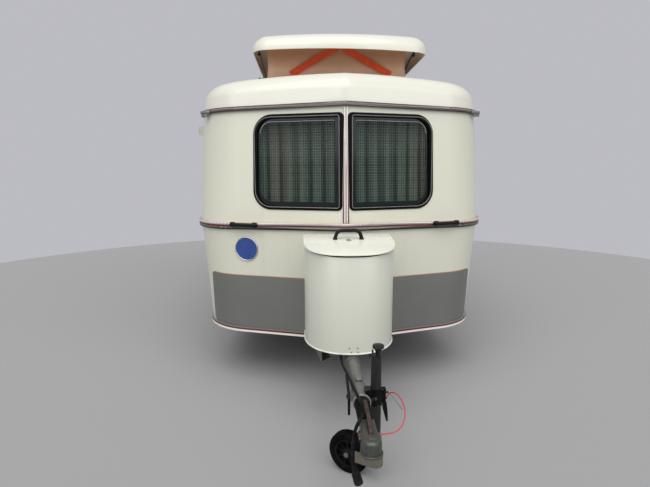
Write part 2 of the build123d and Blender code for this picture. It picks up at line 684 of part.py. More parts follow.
SHAFT_R, RIB_R, VALLEY_R, RIBS = 22, 34, 28, 9
with BuildPart() as bellows:
    pitch = (TUBE_FRONT - 0.5 - BELLOWS_FRONT) / RIBS
    with BuildSketch(Plane.YZ):
        with BuildLine():
            here = (TUBE_FRONT - 0.5, DRAWBAR_Z + VALLEY_R)
            Line((here[0], DRAWBAR_Z + SHAFT_R + 1), here)
            for _ in range(RIBS):
                there = (here[0] - pitch, here[1])
                ThreePointArc(here, (here[0] - pitch / 2, DRAWBAR_Z + RIB_R), there)
                here = there
            Polyline(here, (here[0], DRAWBAR_Z + SHAFT_R + 1), (TUBE_FRONT - 0.5, DRAWBAR_Z + SHAFT_R + 1))
        make_face()
    revolve(axis=Axis((0, 0, DRAWBAR_Z), (0, 1, 0)))
finish(bellows, "bellows")

HEAD_HALF, NECK_HALF, HEAD_TOP, HEAD_BOTTOM = 38, 31, 30, -34
CUP_R, LIP, LIP_H = 40, 6, 8
LEVER_SLOT = (front(-1196), front(-1100), 22)   # from, to, floor above the drawbar's axis


def head_plan(grow):
    """Plan of the pressed head: a straight neck that widens to the round cup."""
    n, h = NECK_HALF + grow, HEAD_HALF + grow
    with BuildSketch() as face:
        with BuildLine():
            l1 = Line((-n, HEAD_REAR), (n, HEAD_REAR))
            l2 = Line(l1 @ 1, (n, BALL_Y + 58))
            l3 = Line(l2 @ 1, (h, BALL_Y))
            l4 = ThreePointArc(l3 @ 1, (0, HEAD_NOSE + LIP - grow), (-h, BALL_Y))
            l5 = Line(l4 @ 1, (-n, BALL_Y + 58))
            Line(l5 @ 1, l1 @ 0)
        make_face()
    return face.sketch


with BuildPart() as coupling_head:
    # pressed body with rounded shoulders and the ball cup's dome
    with BuildSketch(Plane.XY.offset(DRAWBAR_Z + HEAD_BOTTOM)):
        add(head_plan(0))
    extrude(amount=HEAD_TOP - HEAD_BOTTOM)
    fillet(faces().sort_by(Axis.Z)[-1].edges(), 17)
    with Locations((0, BALL_Y + 4, DRAWBAR_Z - 4)):
        Sphere(CUP_R)
    add(box(-60, 60, BALL_Y - 80, BALL_Y + 80, DRAWBAR_Z - 60, DRAWBAR_Z + HEAD_BOTTOM), mode=Mode.SUBTRACT)
    # rolled lip round the bottom
    with BuildSketch(Plane.XY.offset(DRAWBAR_Z + HEAD_BOTTOM)):
        add(head_plan(LIP))
    extrude(amount=LIP_H)
    fillet(edges().filter_by_position(Axis.Z, DRAWBAR_Z + HEAD_BOTTOM + LIP_H - 0.1,
                                      DRAWBAR_Z + HEAD_BOTTOM + LIP_H + 0.1).sort_by(Axis.Y)[:1], 3)
    # slot for the lever
    y0, y1, floor_z = LEVER_SLOT
    add(box(-10, 10, y0, y1, DRAWBAR_Z + floor_z, DRAWBAR_Z + 60), mode=Mode.SUBTRACT)
    # draw shaft through the bellows
    with BuildSketch(along_drawbar(TUBE_FRONT + 60)):
        Circle(SHAFT_R)
    extrude(amount=TUBE_FRONT + 61 - HEAD_REAR)
    # two bolts through the neck
    for y in (front(-1140), front(-1166)):
        with BuildSketch(Plane.YZ.offset(-HEAD_HALF - 6)):
            with Locations((y, DRAWBAR_Z - 2)):
                RegularPolygon(9, 6)
        extrude(amount=2 * HEAD_HALF + 12)
    with BuildSketch(Plane((0, BALL_Y, DRAWBAR_Z + HEAD_BOTTOM))):
        Circle(BALL_R + 0.4)
    extrude(amount=40, mode=Mode.SUBTRACT)
finish(coupling_head, "coupling_head")

with BuildPart() as coupling_handle:
    with BuildSketch(Plane.YZ.offset(-7)):
        with BuildLine():
            floor_at = DRAWBAR_Z + LEVER_SLOT[2]
            Polyline((front(-1192), floor_at), (front(-1160), floor_at), (front(-1106), floor_at + 31),
                     (front(-1000), floor_at + 40), (front(-990), floor_at + 46), (front(-1000), floor_at + 52),
                     (front(-1112), floor_at + 46), (front(-1172), floor_at + 21), (front(-1192), floor_at + 12),
                     close=True)
        make_face()
    extrude(amount=14)
    fillet(edges().filter_by(Axis.X), 2)
finish(coupling_handle, "coupling_handle")

LEVER_X, LEVER_T = -58, 11
with BuildPart() as handbrake_lever:
    for places in (((front(-824), DRAWBAR_Z, 16), (front(-750), 427, 9)),
                   ((front(-750), 427, 9), (front(-680), 446, 8)),
                   ((front(-824), DRAWBAR_Z, 13), (front(-829), 322, 6))):
        with BuildSketch(Plane.YZ.offset(LEVER_X)):
            for y, z, radius in places:
                with Locations((y, z)):
                    Circle(radius)
            make_hull()
        extrude(amount=LEVER_T)
    # pivot bolt and the push button at the grip's end
    with BuildSketch(Plane.YZ.offset(LEVER_X - 6)):
        with Locations((front(-824), DRAWBAR_Z)):
            RegularPolygon(9, 6)
    extrude(amount=7)
    button = Plane((LEVER_X + LEVER_T / 2, front(-674), 447.6), z_dir=(0, 0.965, 0.262))
    with BuildSketch(button):
        Circle(4)
    extrude(amount=10)
finish(handbrake_lever, "handbrake_lever")

# ---------------------------------------------------------------- jockey wheel
JOCKEY_X, JOCKEY_Y = 68, front(-846)
JOCKEY_R, JOCKEY_W, JOCKEY_TRAIL, JOCKEY_TURN = 102, 56, 132, radians(32)
JOCKEY_RIM_R, JOCKEY_TUBE_R, JOCKEY_TOP = 67, 24, 606
HUB_X = JOCKEY_X - JOCKEY_TRAIL * cos(JOCKEY_TURN)
HUB_Y = JOCKEY_Y + JOCKEY_TRAIL * sin(JOCKEY_TURN)
trail_dir = Vector(HUB_X - JOCKEY_X, HUB_Y - JOCKEY_Y, 0).normalized()
axle_dir = Vector(-trail_dir.Y, trail_dir.X, 0)
jockey_axle = Axis((HUB_X, HUB_Y, JOCKEY_R), axle_dir)


def jockey_plane(z):
    return Plane((JOCKEY_X, JOCKEY_Y, z))


CLAMP_Z0, CLAMP_Z1 = 380, 454
with BuildPart() as jockey_clamp:
    with BuildSketch(jockey_plane(CLAMP_Z0)):
        Circle(JOCKEY_TUBE_R + 8)
        with Locations((22, 0)):
            Rectangle(44, 26)
        with Locations((-30, 0)):
            Rectangle(40, 46)
    extrude(amount=CLAMP_Z1 - CLAMP_Z0)
    with BuildSketch(jockey_plane(CLAMP_Z0)):
        Circle(JOCKEY_TUBE_R + 0.05)
        with Locations((40, 0)):
            Rectangle(50, 5)
    extrude(amount=CLAMP_Z1 - CLAMP_Z0, mode=Mode.SUBTRACT)
    with BuildSketch(along_drawbar(JOCKEY_Y + 60)):
        Circle(HOUSING_R)
    extrude(amount=120, mode=Mode.SUBTRACT)
    # bent tommy bar of the clamp screw, through both ears
    with BuildLine() as bar:
        FilletPolyline((100, JOCKEY_Y + 16, 444), (100, JOCKEY_Y - 24, 444), (126, JOCKEY_Y - 26, 446),
                       (186, JOCKEY_Y - 26, 362), radius=8)
    with BuildSketch(Plane(bar.wire() @ 0, z_dir=bar.wire() % 0)):
        Circle(4)
    sweep(path=bar.wire())
    # safety blade that hangs from the ear
    with BuildSketch(Plane.XZ.offset(-(JOCKEY_Y - 13))):
        with Locations((103, 388)):
            Circle(12)
        with Locations((119, 306)):
            Circle(6)
        make_hull()
    extrude(amount=5)
finish(jockey_clamp, "jockey_clamp")

with BuildPart() as jockey_tube:
    with BuildSketch(jockey_plane(210)):
        Circle(JOCKEY_TUBE_R)
        Circle(20.05, mode=Mode.SUBTRACT)
    extrude(amount=JOCKEY_TOP - 210)
    with BuildSketch(jockey_plane(JOCKEY_TOP - 10)):
        Circle(JOCKEY_TUBE_R + 2)
    extrude(amount=12)
    # crank's neck and its round grip
    grip = Plane((JOCKEY_X + 8, JOCKEY_Y, JOCKEY_TOP), x_dir=(1, 0, 0), z_dir=(0, -1, 0))
    with BuildSketch(grip):
        with BuildLine():
            Polyline((0, 0), (10, 0), (10, 12), (17, 34), (25, 38), (27, 44), (25, 52), (12, 55), (0, 55),
                     close=True)
        make_face()
    revolve(axis=Axis((JOCKEY_X + 8, JOCKEY_Y, 0), (0, 0, 1)))
    # folded bracket of the crank arm
    add(box(JOCKEY_X - 20, JOCKEY_X - 14, JOCKEY_Y - 12, JOCKEY_Y + 12, JOCKEY_TOP, JOCKEY_TOP + 28))
    add(box(JOCKEY_X - 20, JOCKEY_X + 6, JOCKEY_Y - 12, JOCKEY_Y + 12, JOCKEY_TOP, JOCKEY_TOP + 6))
finish(jockey_tube, "jockey_tube")

YOKE_HALF, YOKE_T, YOKE_Z0, YOKE_H, NEAR_CHEEK, AXLE_R = 37, 4, 78, 58, 86, 8


def yoke_plane(z):
    """Plane at a height with its origin on the swivel, x along the trail and y along the axle."""
    return Plane((JOCKEY_X, JOCKEY_Y, z), x_dir=trail_dir, z_dir=(0, 0, 1))


side_plane = Plane((JOCKEY_X, JOCKEY_Y, 0), x_dir=trail_dir, z_dir=trail_dir.cross(Vector(0, 0, 1)))
with BuildPart() as jockey_fork:
    # pressed yoke, round in front of the spindle; its near cheek is short, the far one has the axle
    with BuildSketch(yoke_plane(YOKE_Z0)):
        h, t = YOKE_HALF, YOKE_HALF - YOKE_T
        with BuildLine():
            l1 = Line((NEAR_CHEEK, h), (0, h))
            l2 = ThreePointArc(l1 @ 1, (-h, 0), (0, -h))
            l3 = Polyline(l2 @ 1, (JOCKEY_TRAIL + 22, -h), (JOCKEY_TRAIL + 22, -t), (0, -t))
            l4 = ThreePointArc(l3 @ 1, (-t, 0), (0, t))
            Polyline(l4 @ 1, (NEAR_CHEEK, t), l1 @ 0)
        make_face()
    extrude(amount=YOKE_H)
    with BuildSketch(side_plane):
        with BuildLine():
            l1 = Line((-60, YOKE_Z0), (JOCKEY_TRAIL, JOCKEY_R - 22))
            l2 = ThreePointArc(l1 @ 1, (JOCKEY_TRAIL + 22, JOCKEY_R), (JOCKEY_TRAIL, JOCKEY_R + 22))
            Polyline(l2 @ 1, (90, YOKE_Z0 + YOKE_H), (-60, YOKE_Z0 + YOKE_H), l1 @ 0)
        make_face()
    extrude(amount=60, both=True, mode=Mode.INTERSECT)
    for z in (YOKE_Z0, YOKE_Z0 + YOKE_H - 6):
        with BuildSketch(yoke_plane(z)):
            Circle(YOKE_HALF - 1)
            with Locations((22 + 40, 0)):
                Rectangle(80, 80, mode=Mode.SUBTRACT)
        extrude(amount=6)
    # spindle in the tube, with a thrust collar under it
    with BuildSketch(jockey_plane(YOKE_Z0)):
        Circle(20)
    extrude(amount=420)
    with BuildSketch(jockey_plane(YOKE_Z0 + YOKE_H)):
        Circle(26)
    extrude(amount=70)
    # axle bolt with its head and nut
    for start, radius, length in ((-YOKE_HALF - 1, AXLE_R, 2 * YOKE_HALF - 2), (-YOKE_HALF - 9, 13, 9),
                                  (JOCKEY_W / 2 + 5, 12, 8)):
        at = Vector(HUB_X, HUB_Y, JOCKEY_R) + axle_dir * start
        with BuildSketch(Plane(at, x_dir=(0, 0, 1), z_dir=axle_dir)):
            if radius == AXLE_R:
                Circle(radius)
            else:
                RegularPolygon(radius, 6)
        extrude(amount=length)
finish(jockey_fork, "jockey_fork")

hub_plane = Plane((HUB_X, HUB_Y, JOCKEY_R), x_dir=axle_dir, z_dir=axle_dir.cross(Vector(0, 0, 1)))
with BuildPart() as jockey_tyre:
    w, r = JOCKEY_W / 2, JOCKEY_R
    with BuildSketch(hub_plane):
        with BuildLine():
            Line((-w + 4, JOCKEY_RIM_R), (-w, JOCKEY_RIM_R + 10))
            Line((-w, JOCKEY_RIM_R + 10), (-w, r - 16))
            ThreePointArc((-w, r - 16), (-w + 5, r - 5), (-w + 14, r))
            Line((-w + 14, r), (w - 14, r))
            ThreePointArc((w - 14, r), (w - 5, r - 5), (w, r - 16))
            Polyline((w, r - 16), (w, JOCKEY_RIM_R + 10), (w - 4, JOCKEY_RIM_R), (-w + 4, JOCKEY_RIM_R))
        make_face()
    revolve(axis=jockey_axle)
finish(jockey_tyre, "jockey_tyre")

SPOKES = 9
with BuildPart() as jockey_hub:
    with BuildSketch(hub_plane):
        with BuildLine():
            r = JOCKEY_RIM_R - 0.2
            Polyline((-32, AXLE_R + 0.05), (-32, 22), (-28, 24), (-3, 24), (-3, r - 9), (-24, r - 7), (-24, r),
                     (24, r), (24, r - 7), (3, r - 9), (3, 24), (28, 24), (32, 22), (32, AXLE_R + 0.05),
                     close=True)
        make_face()
    revolve(axis=jockey_axle)
    # ribs on both faces of the web
    for i in range(SPOKES):
        turn = 2 * pi * i / SPOKES
        out = Vector(0, 0, 1) * cos(turn) + trail_dir * sin(turn)
        root = Vector(HUB_X, HUB_Y, JOCKEY_R) + out * 23
        with BuildSketch(Plane(root, x_dir=axle_dir, z_dir=out)):
            Rectangle(40, 5)
        extrude(amount=JOCKEY_RIM_R - 8 - 23)
finish(jockey_hub, "jockey_hub")

# ---------------------------------------------------------------- gas locker
LOCKER_HALF, LOCKER_BOTTOM = 262, 450
LOCKER_REAR, LOCKER_SIDE, LOCKER_NOSE = front(-24), front(-330), front(-446)
LOCKER_T = 6
LID_REAR_Z, LID_FRONT_Z, LID_T = 1046, 992, 26
LID_SLOPE = atan((LID_REAR_Z - LID_FRONT_Z) / (LOCKER_REAR - LOCKER_NOSE))


def locker_plan(inset):
    """D-shaped plan of the locker."""
    with BuildSketch() as face:
        with BuildLine():
            w = LOCKER_HALF - inset
            l1 = Line((-w, LOCKER_REAR - inset), (w, LOCKER_REAR - inset))
            l2 = Line(l1 @ 1, (w, LOCKER_SIDE))
            l3 = ThreePointArc(l2 @ 1, (0, LOCKER_NOSE + inset), (-w, LOCKER_SIDE))
            Line(l3 @ 1, l1 @ 0)
        make_face()
        fillet(face.vertices().sort_by(Axis.Y)[:2], 60 - inset)
    return face.sketch


def locker_top(drop, height):
    """Block above the sloping top plane, lowered by `drop`."""
    with BuildPart() as block:
        with BuildSketch(Plane.YZ.offset(-400)):
            with BuildLine():
                y0, y1 = LOCKER_NOSE - 40, LOCKER_REAR + 40
                z0 = LID_FRONT_Z - drop - 40 * tan(LID_SLOPE)
                z1 = LID_REAR_Z - drop + 40 * tan(LID_SLOPE)
                Polyline((y0, z0), (y1, z1), (y1, z1 + height), (y0, z0 + height), close=True)
            make_face()
        extrude(amount=800)
    return block.part


with BuildPart() as gas_locker:
    with BuildSketch(Plane.XY.offset(LOCKER_BOTTOM)):
        add(locker_plan(8))
    extrude(amount=700)
    with BuildSketch(Plane.XY.offset(LOCKER_BOTTOM + LOCKER_T)):
        add(locker_plan(8 + LOCKER_T))
    extrude(amount=700, mode=Mode.SUBTRACT)
    add(locker_top(LID_T + GAP, 900), mode=Mode.SUBTRACT)
finish(gas_locker, "gas_locker")

with BuildPart() as gas_locker_lid:
    with BuildSketch(Plane.XY.offset(LOCKER_BOTTOM)):
        add(locker_plan(0))
    extrude(amount=900)
    add(locker_top(LID_T, LID_T), mode=Mode.INTERSECT)
finish(gas_locker_lid, "gas_locker_lid")

with BuildPart() as locker_handle:
    z_at = LID_REAR_Z - (LOCKER_REAR - front(-150)) * tan(LID_SLOPE)
    with BuildSketch(Plane.XZ.offset(-front(-144))):
        with Locations((0, z_at + 18.5)):
            Rectangle(150, 34)
            with Locations((0, -9)):
                Rectangle(118, 34, mode=Mode.SUBTRACT)
    extrude(amount=14)
finish(locker_handle, "locker_handle")

# ---------------------------------------------------------------- pop-up roof
LIFT = 150
TOP_HALF, TOP_NOSE, TOP_BOW, TOP_REAR = 626, front(640), 110, front(2760)
TOP_SKIRT_Z, TOP_Z, TOP_T, TOP_EDGE_R, TOP_CORNER = 2232, 2403, 10, 80, 95
TOP_ARCH = 30
TOP_MID_Y = (TOP_NOSE + TOP_REAR) / 2
CANVAS_HALF, CANVAS_Y0, CANVAS_Y1 = 530, front(872), front(2510)
CANVAS_Z0, CANVAS_Z1 = 2082, 2340


def top_plan(inset):
    w = TOP_HALF - inset
    with BuildSketch() as face:
        with BuildLine():
            l1 = ThreePointArc((-w, TOP_NOSE + TOP_BOW + inset), (0, TOP_NOSE + inset), (w, TOP_NOSE + TOP_BOW + inset))
            l2 = Line(l1 @ 1, (w, TOP_REAR - TOP_BOW / 2 - inset))
            l3 = ThreePointArc(l2 @ 1, (0, TOP_REAR - inset), (-w, TOP_REAR - TOP_BOW / 2 - inset))
            Line(l3 @ 1, l1 @ 0)
        make_face()
        fillet(face.vertices(), TOP_CORNER - inset)
    return face.sketch


def top_dome(inset, z_low):
    with BuildPart() as block:
        with BuildSketch(Plane.XY.offset(z_low)):
            add(top_plan(inset))
        with BuildSketch(Plane.XY.offset(TOP_Z + 20)):
            add(top_plan(inset + 10))
        loft(ruled=True)
        add(crown(2 * TOP_HALF + 60, TOP_REAR - TOP_NOSE + 60, TOP_Z - inset, 26, 18, TOP_MID_Y, 400),
            mode=Mode.INTERSECT)
        rim = block.edges().filter_by(lambda e: min(v.Z for v in e.vertices()) > z_low + 40)
        fillet(rim, TOP_EDGE_R - inset)
    return block.part


with BuildPart() as pop_top:
    add(top_dome(0, TOP_SKIRT_Z - 60))
    add(top_dome(TOP_T, TOP_SKIRT_Z - 60), mode=Mode.SUBTRACT)
    # the lower edge is arched like the roof under it
    with BuildSketch(Plane.XZ.offset(-TOP_REAR - 50)):
        with BuildLine():
            l1 = ThreePointArc((-700, TOP_SKIRT_Z - 6), (0, TOP_SKIRT_Z + TOP_ARCH), (700, TOP_SKIRT_Z - 6))
            Polyline(l1 @ 1, (700, 2000), (-700, 2000), l1 @ 0)
        make_face()
    extrude(amount=TOP_REAR - TOP_NOSE + 100, mode=Mode.SUBTRACT)
finish(pop_top, "pop_top")

with BuildPart() as pop_top_canvas:
    add(box(-CANVAS_HALF, CANVAS_HALF, CANVAS_Y0, CANVAS_Y1, CANVAS_Z0, CANVAS_Z1))
    add(box(-CANVAS_HALF + 5, CANVAS_HALF - 5, CANVAS_Y0 + 5, CANVAS_Y1 - 5, CANVAS_Z0 - 1, CANVAS_Z1 + 1),
        mode=Mode.SUBTRACT)
finish(pop_top_canvas, "pop_top_canvas")

STRAPS = [  # lower end x, z, upper end x, z
    (-350, 2118, -30, 2300),
    (410, 2118, 50, 2308),
]
with BuildPart() as canvas_straps:
    for x0, z0, x1, z1 in STRAPS:
        run = hypot(x1 - x0, z1 - z0)
        u = Vector((x1 - x0) / run, 0, (z1 - z0) / run)
        with BuildSketch(Plane(((x0 + x1) / 2, CANVAS_Y0 - 1, (z0 + z1) / 2), x_dir=u, z_dir=(0, -1, 0))):
            Rectangle(run, 42)
        extrude(amount=3)
finish(canvas_straps, "canvas_straps")

ARM_L, ARM_LOW_Z, ARM_RISE, ARM_FRONT_Y = 900, 2098, 176, front(930)
ARM_H, ARM_BAR_T = 18, 5
ARM_REST = asin(ARM_RISE / ARM_L)
for name, x, z, lean in (("a", 558, ARM_LOW_Z, ARM_REST), ("b", 570, ARM_LOW_Z + ARM_RISE, -ARM_REST)):
    with BuildPart() as arms:
        u = Vector(0, cos(lean), sin(lean))
        with BuildSketch(Plane((x, ARM_FRONT_Y, z), x_dir=u, z_dir=(1, 0, 0))):
            with Locations((ARM_L / 2, 0)):
                SlotOverall(ARM_L + ARM_H, ARM_H)
        extrude(amount=ARM_BAR_T)
        mirror(about=Plane.YZ)
    finish(arms, f"lift_arms_{name}")

# ---------------------------------------------------------------- corner steadies
STEADY_X, STEADY_Z, STEADY_L = 700, 388, 420
STEADY_W, STEADY_H, STEADY_T = 36, 28, 3
FOOT_L, FOOT_W, FOOT_T = 60, 80, 6
for name, sx, y, d in (("front_left", -1, front(905), -1), ("front_right", 1, front(905), -1),
                       ("rear_left", -1, STERN_Y - 760, 1), ("rear_right", 1, STERN_Y - 760, 1)):
    with BuildPart() as steady:
        # channel, open below, with a rounded end at the pivot and a slanting tip
        with BuildSketch(Plane.YZ.offset(sx * STEADY_X - STEADY_W / 2)):
            with Locations((y, STEADY_Z)):
                Circle(STEADY_H / 2)
            with Locations((y + d * (STEADY_L - 34), STEADY_Z)):
                Rectangle(20, STEADY_H)
            with Locations((y + d * (STEADY_L - 10), STEADY_Z - STEADY_H / 2 + 4)):
                Rectangle(20, 8)
            make_hull()
        extrude(amount=STEADY_W)
        cut_from, cut_to = sorted((y + d * 12, y + d * (STEADY_L - FOOT_L)))
        add(box(sx * STEADY_X - STEADY_W / 2 + STEADY_T, sx * STEADY_X + STEADY_W / 2 - STEADY_T,
                cut_from, cut_to, STEADY_Z - STEADY_H / 2 - 1, STEADY_Z + STEADY_H / 2 - STEADY_T),
            mode=Mode.SUBTRACT)
        # foot plate
        with BuildSketch(Plane.XY.offset(STEADY_Z - STEADY_H / 2 - FOOT_T)):
            with Locations((sx * STEADY_X, y + d * (STEADY_L - FOOT_L / 2))):
                RectangleRounded(FOOT_W, FOOT_L, 10)
        extrude(amount=FOOT_T)
    finish(steady, f"steady_{name}")

with BuildPart() as steady_brackets:
    for sx in (-1, 1):
        for y in (front(905), STERN_Y - 760):
            for k in (-1, 1):
                xc = sx * STEADY_X + k * 25
                add(box(xc - 2, xc + 2, y - 30, y + 30, STEADY_Z - 18, LEG_TOP))
finish(steady_brackets, "steady_brackets")

# ---------------------------------------------------------------- small fittings
with BuildPart() as grab_handles:
    for nose, slope, ends in ((PROW_Y - 1.5, V_FRONT, 1), (STERN_Y + 1, V_REAR, -1)):
        along = Vector(cos(slope), ends * sin(slope), 0)
        for a, b in ((560, 740),):
            start = Vector(0, nose, 0) + along * a
            with BuildSketch(Plane((start.X, start.Y, BELT_Z + 4), x_dir=along, z_dir=(0, 0, 1))):
                with Locations(((b - a) / 2, -ends * 20)):
                    Rectangle(b - a, 40)
                    with Locations((0, ends * 7)):
                        Rectangle(b - a - 36, 27, mode=Mode.SUBTRACT)
            extrude(amount=14)
    mirror(about=Plane.YZ)
finish(grab_handles, "grab_handles")

with BuildPart() as round_badge:
    up = Vector(0, LEVELS["sill"][2] - LEVELS["belt"][2], SILL_Z - BELT_Z) * -1
    along = Vector(cos(V_FRONT), -sin(V_FRONT), 0)
    lower = Plane((0, PROW_Y + LEVELS["belt"][2], BELT_Z), x_dir=along, z_dir=along.cross(up))
    with BuildSketch(lower):
        with Locations((-660, -160)):
            Circle(78)
    extrude(amount=6)
finish(round_badge, "round_badge")

with BuildPart() as tail_lamps:
    along = Vector(-cos(V_REAR), sin(V_REAR), 0)
    up = Vector(0, LEVELS["belt"][3] - LEVELS["sill"][3], SILL_Z - BELT_Z) * -1
    tail = Plane((0, STERN_Y - LEVELS["belt"][3], BELT_Z), x_dir=along, z_dir=along.cross(up))
    with BuildSketch(tail):
        with Locations((-520, -430)):
            RectangleRounded(220, 100, 12)
    extrude(amount=40)
    mirror(about=Plane.YZ)
finish(tail_lamps, "tail_lamps")
with BuildPart() as plate_panel:
    with BuildSketch(Plane.XZ.offset(-STERN_Y + 6)):
        with Locations((0, 560)):
            Rectangle(520, 110)
    extrude(amount=-4)
finish(plate_panel, "plate_panel")


# ---------------------------------------------------------------- cords
def cord(points, radius):
    """A tube along straight runs joined by arcs as large as the runs allow."""
    p = [Vector(*q) for q in points]
    radii = []
    for a, b, c in zip(p, p[1:], p[2:]):
        turn = radians((b - a).get_angle(c - b))
        radii.append(0.45 * min((b - a).length, (c - b).length) / tan(turn / 2))
    with BuildPart() as tube:
        with BuildLine() as path:
            FilletPolyline(*p, radius=radii)
        with BuildSketch(Plane(path.wire() @ 0, z_dir=path.wire() % 0)):
            Circle(radius)
        sweep()
    print("cord radii", [round(r) for r in radii], "volume ratio",
          round(tube.part.volume / (pi * radius ** 2 * path.wire().length), 4))
    return tube


LEAD_R, BREAKAWAY_R = 5.5, 2.5
LEAD = [
    (-50, front(-229), 428), (-54, front(-290), 428), (-58, front(-360), 429), (-61, front(-430), 430),
    (-61, front(-500), 430), (-56, front(-570), 433), (-48, front(-640), 439), (-42, front(-710), 444),
    (-37, front(-780), 447), (-30, front(-850), 450), (-20, front(-920), 449), (-8, front(-985), 447),
    (2, front(-1036), 447), (-12, front(-1072), 450), (-34, front(-1096), 438), (-51, front(-1110), 411),
    (-60, front(-1115), 368), (-63, front(-1115), 320), (-64, front(-1115.5), 272),
    (-55, front(-1116), 240),
]
BREAKAWAY = [
    (114.5, JOCKEY_Y - 4, 404), (118, front(-872), 434), (127, front(-904), 462), (141, front(-946), 477),
    (154, front(-994), 474), (160, front(-1046), 460), (152, front(-1092), 432), (124, front(-1118), 404),
    (83, front(-1126), 394), (41, front(-1124), 392),
]
PLUG_DIR = (Vector(*LEAD[-1]) - Vector(*LEAD[-2])).normalized()
electric_lead = cord(LEAD, LEAD_R)
finish(electric_lead, "electric_lead")
breakaway_cable = cord(BREAKAWAY, BREAKAWAY_R)
finish(breakaway_cable, "breakaway_cable")

with BuildPart() as lead_plug:
    with BuildSketch(Plane(LEAD[-1], z_dir=PLUG_DIR)):
        Circle(10)
    with BuildSketch(Plane(Vector(*LEAD[-1]) + PLUG_DIR * 24, z_dir=PLUG_DIR)):
        Circle(15)
    loft()
    with BuildSketch(Plane(Vector(*LEAD[-1]) + PLUG_DIR * 24, z_dir=PLUG_DIR)):
        Circle(19)
    extrude(amount=44)
finish(lead_plug, "lead_plug")
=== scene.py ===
import bmesh
import bpy
from math import atan, cos, hypot, pi, radians, sin, tan
from mathutils import Matrix, Vector


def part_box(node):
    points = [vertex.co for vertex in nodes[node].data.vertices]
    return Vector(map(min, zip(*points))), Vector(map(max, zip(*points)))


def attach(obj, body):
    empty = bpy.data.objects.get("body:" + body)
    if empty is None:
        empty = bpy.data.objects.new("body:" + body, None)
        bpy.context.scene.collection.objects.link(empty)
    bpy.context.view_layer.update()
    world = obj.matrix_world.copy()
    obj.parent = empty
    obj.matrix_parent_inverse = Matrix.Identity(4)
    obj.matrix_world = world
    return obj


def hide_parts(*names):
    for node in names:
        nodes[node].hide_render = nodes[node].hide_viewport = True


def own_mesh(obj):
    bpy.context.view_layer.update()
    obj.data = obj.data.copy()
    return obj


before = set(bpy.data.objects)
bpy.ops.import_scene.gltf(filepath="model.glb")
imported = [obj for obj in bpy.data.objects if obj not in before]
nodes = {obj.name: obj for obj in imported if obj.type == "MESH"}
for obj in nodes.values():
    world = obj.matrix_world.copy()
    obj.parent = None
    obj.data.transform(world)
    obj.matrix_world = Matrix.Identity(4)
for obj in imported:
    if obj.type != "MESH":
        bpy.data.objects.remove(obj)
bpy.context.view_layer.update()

# ------------------------ view
# A camera at standing height, a little to the door side of the drawbar, turned slightly back
# to the middle and tipped down. It has a moderate wide-angle lens.
CAMERA_AT = (-0.237, -4.0046, 1.4477)
CAMERA_TURN, CAMERA_DIP, CAMERA_ROLL = 0.0373, 0.1590, -0.0036
LENS_MM, SENSOR_MM = 26.81, 36.0

lens = bpy.data.cameras.new("camera")
lens.lens, lens.sensor_width, lens.sensor_fit = LENS_MM, SENSOR_MM, "HORIZONTAL"
camera = bpy.data.objects.new("camera", lens)
camera.matrix_world = (Matrix.Translation(CAMERA_AT) @ Matrix.Rotation(-CAMERA_TURN, 4, "Z")
                       @ Matrix.Rotation(pi / 2 - CAMERA_DIP, 4, "X")
                       @ Matrix.Rotation(CAMERA_ROLL, 4, "Z"))
bpy.context.scene.collection.objects.link(camera)
bpy.context.scene.camera = camera
bpy.context.scene.view_settings.view_transform = "Standard"


# ------------------------ chassis and drawbar
# Folded and welded steel channels and a round drawbar tube, hot-dip galvanised and gone dull,
# with road dirt below and rust at the welds.
class Output:
    """A shader output that takes part in sums: each operation adds one Math node."""

    def __init__(self, finish, socket):
        self.finish, self.socket = finish, socket

    def __add__(self, other):
        return self.finish.maths("ADD", self, other)

    def __sub__(self, other):
        return self.finish.maths("SUBTRACT", self, other)

    def __rsub__(self, other):
        return self.finish.maths("SUBTRACT", other, self)

    def __mul__(self, other):
        return self.finish.maths("MULTIPLY", self, other)

    def __truediv__(self, other):
        return self.finish.maths("DIVIDE", self, other)

    __radd__, __rmul__ = __add__, __mul__

    def above(self, edge):
        return self.finish.maths("GREATER_THAN", self, edge)

    def size(self):
        return self.finish.maths("ABSOLUTE", self)

    def fade(self, start, end):
        """0 at start and 1 at end, with an even slope between."""
        return self.finish.add("MapRange", {}, {"Value": self, "From Min": start, "From Max": end})


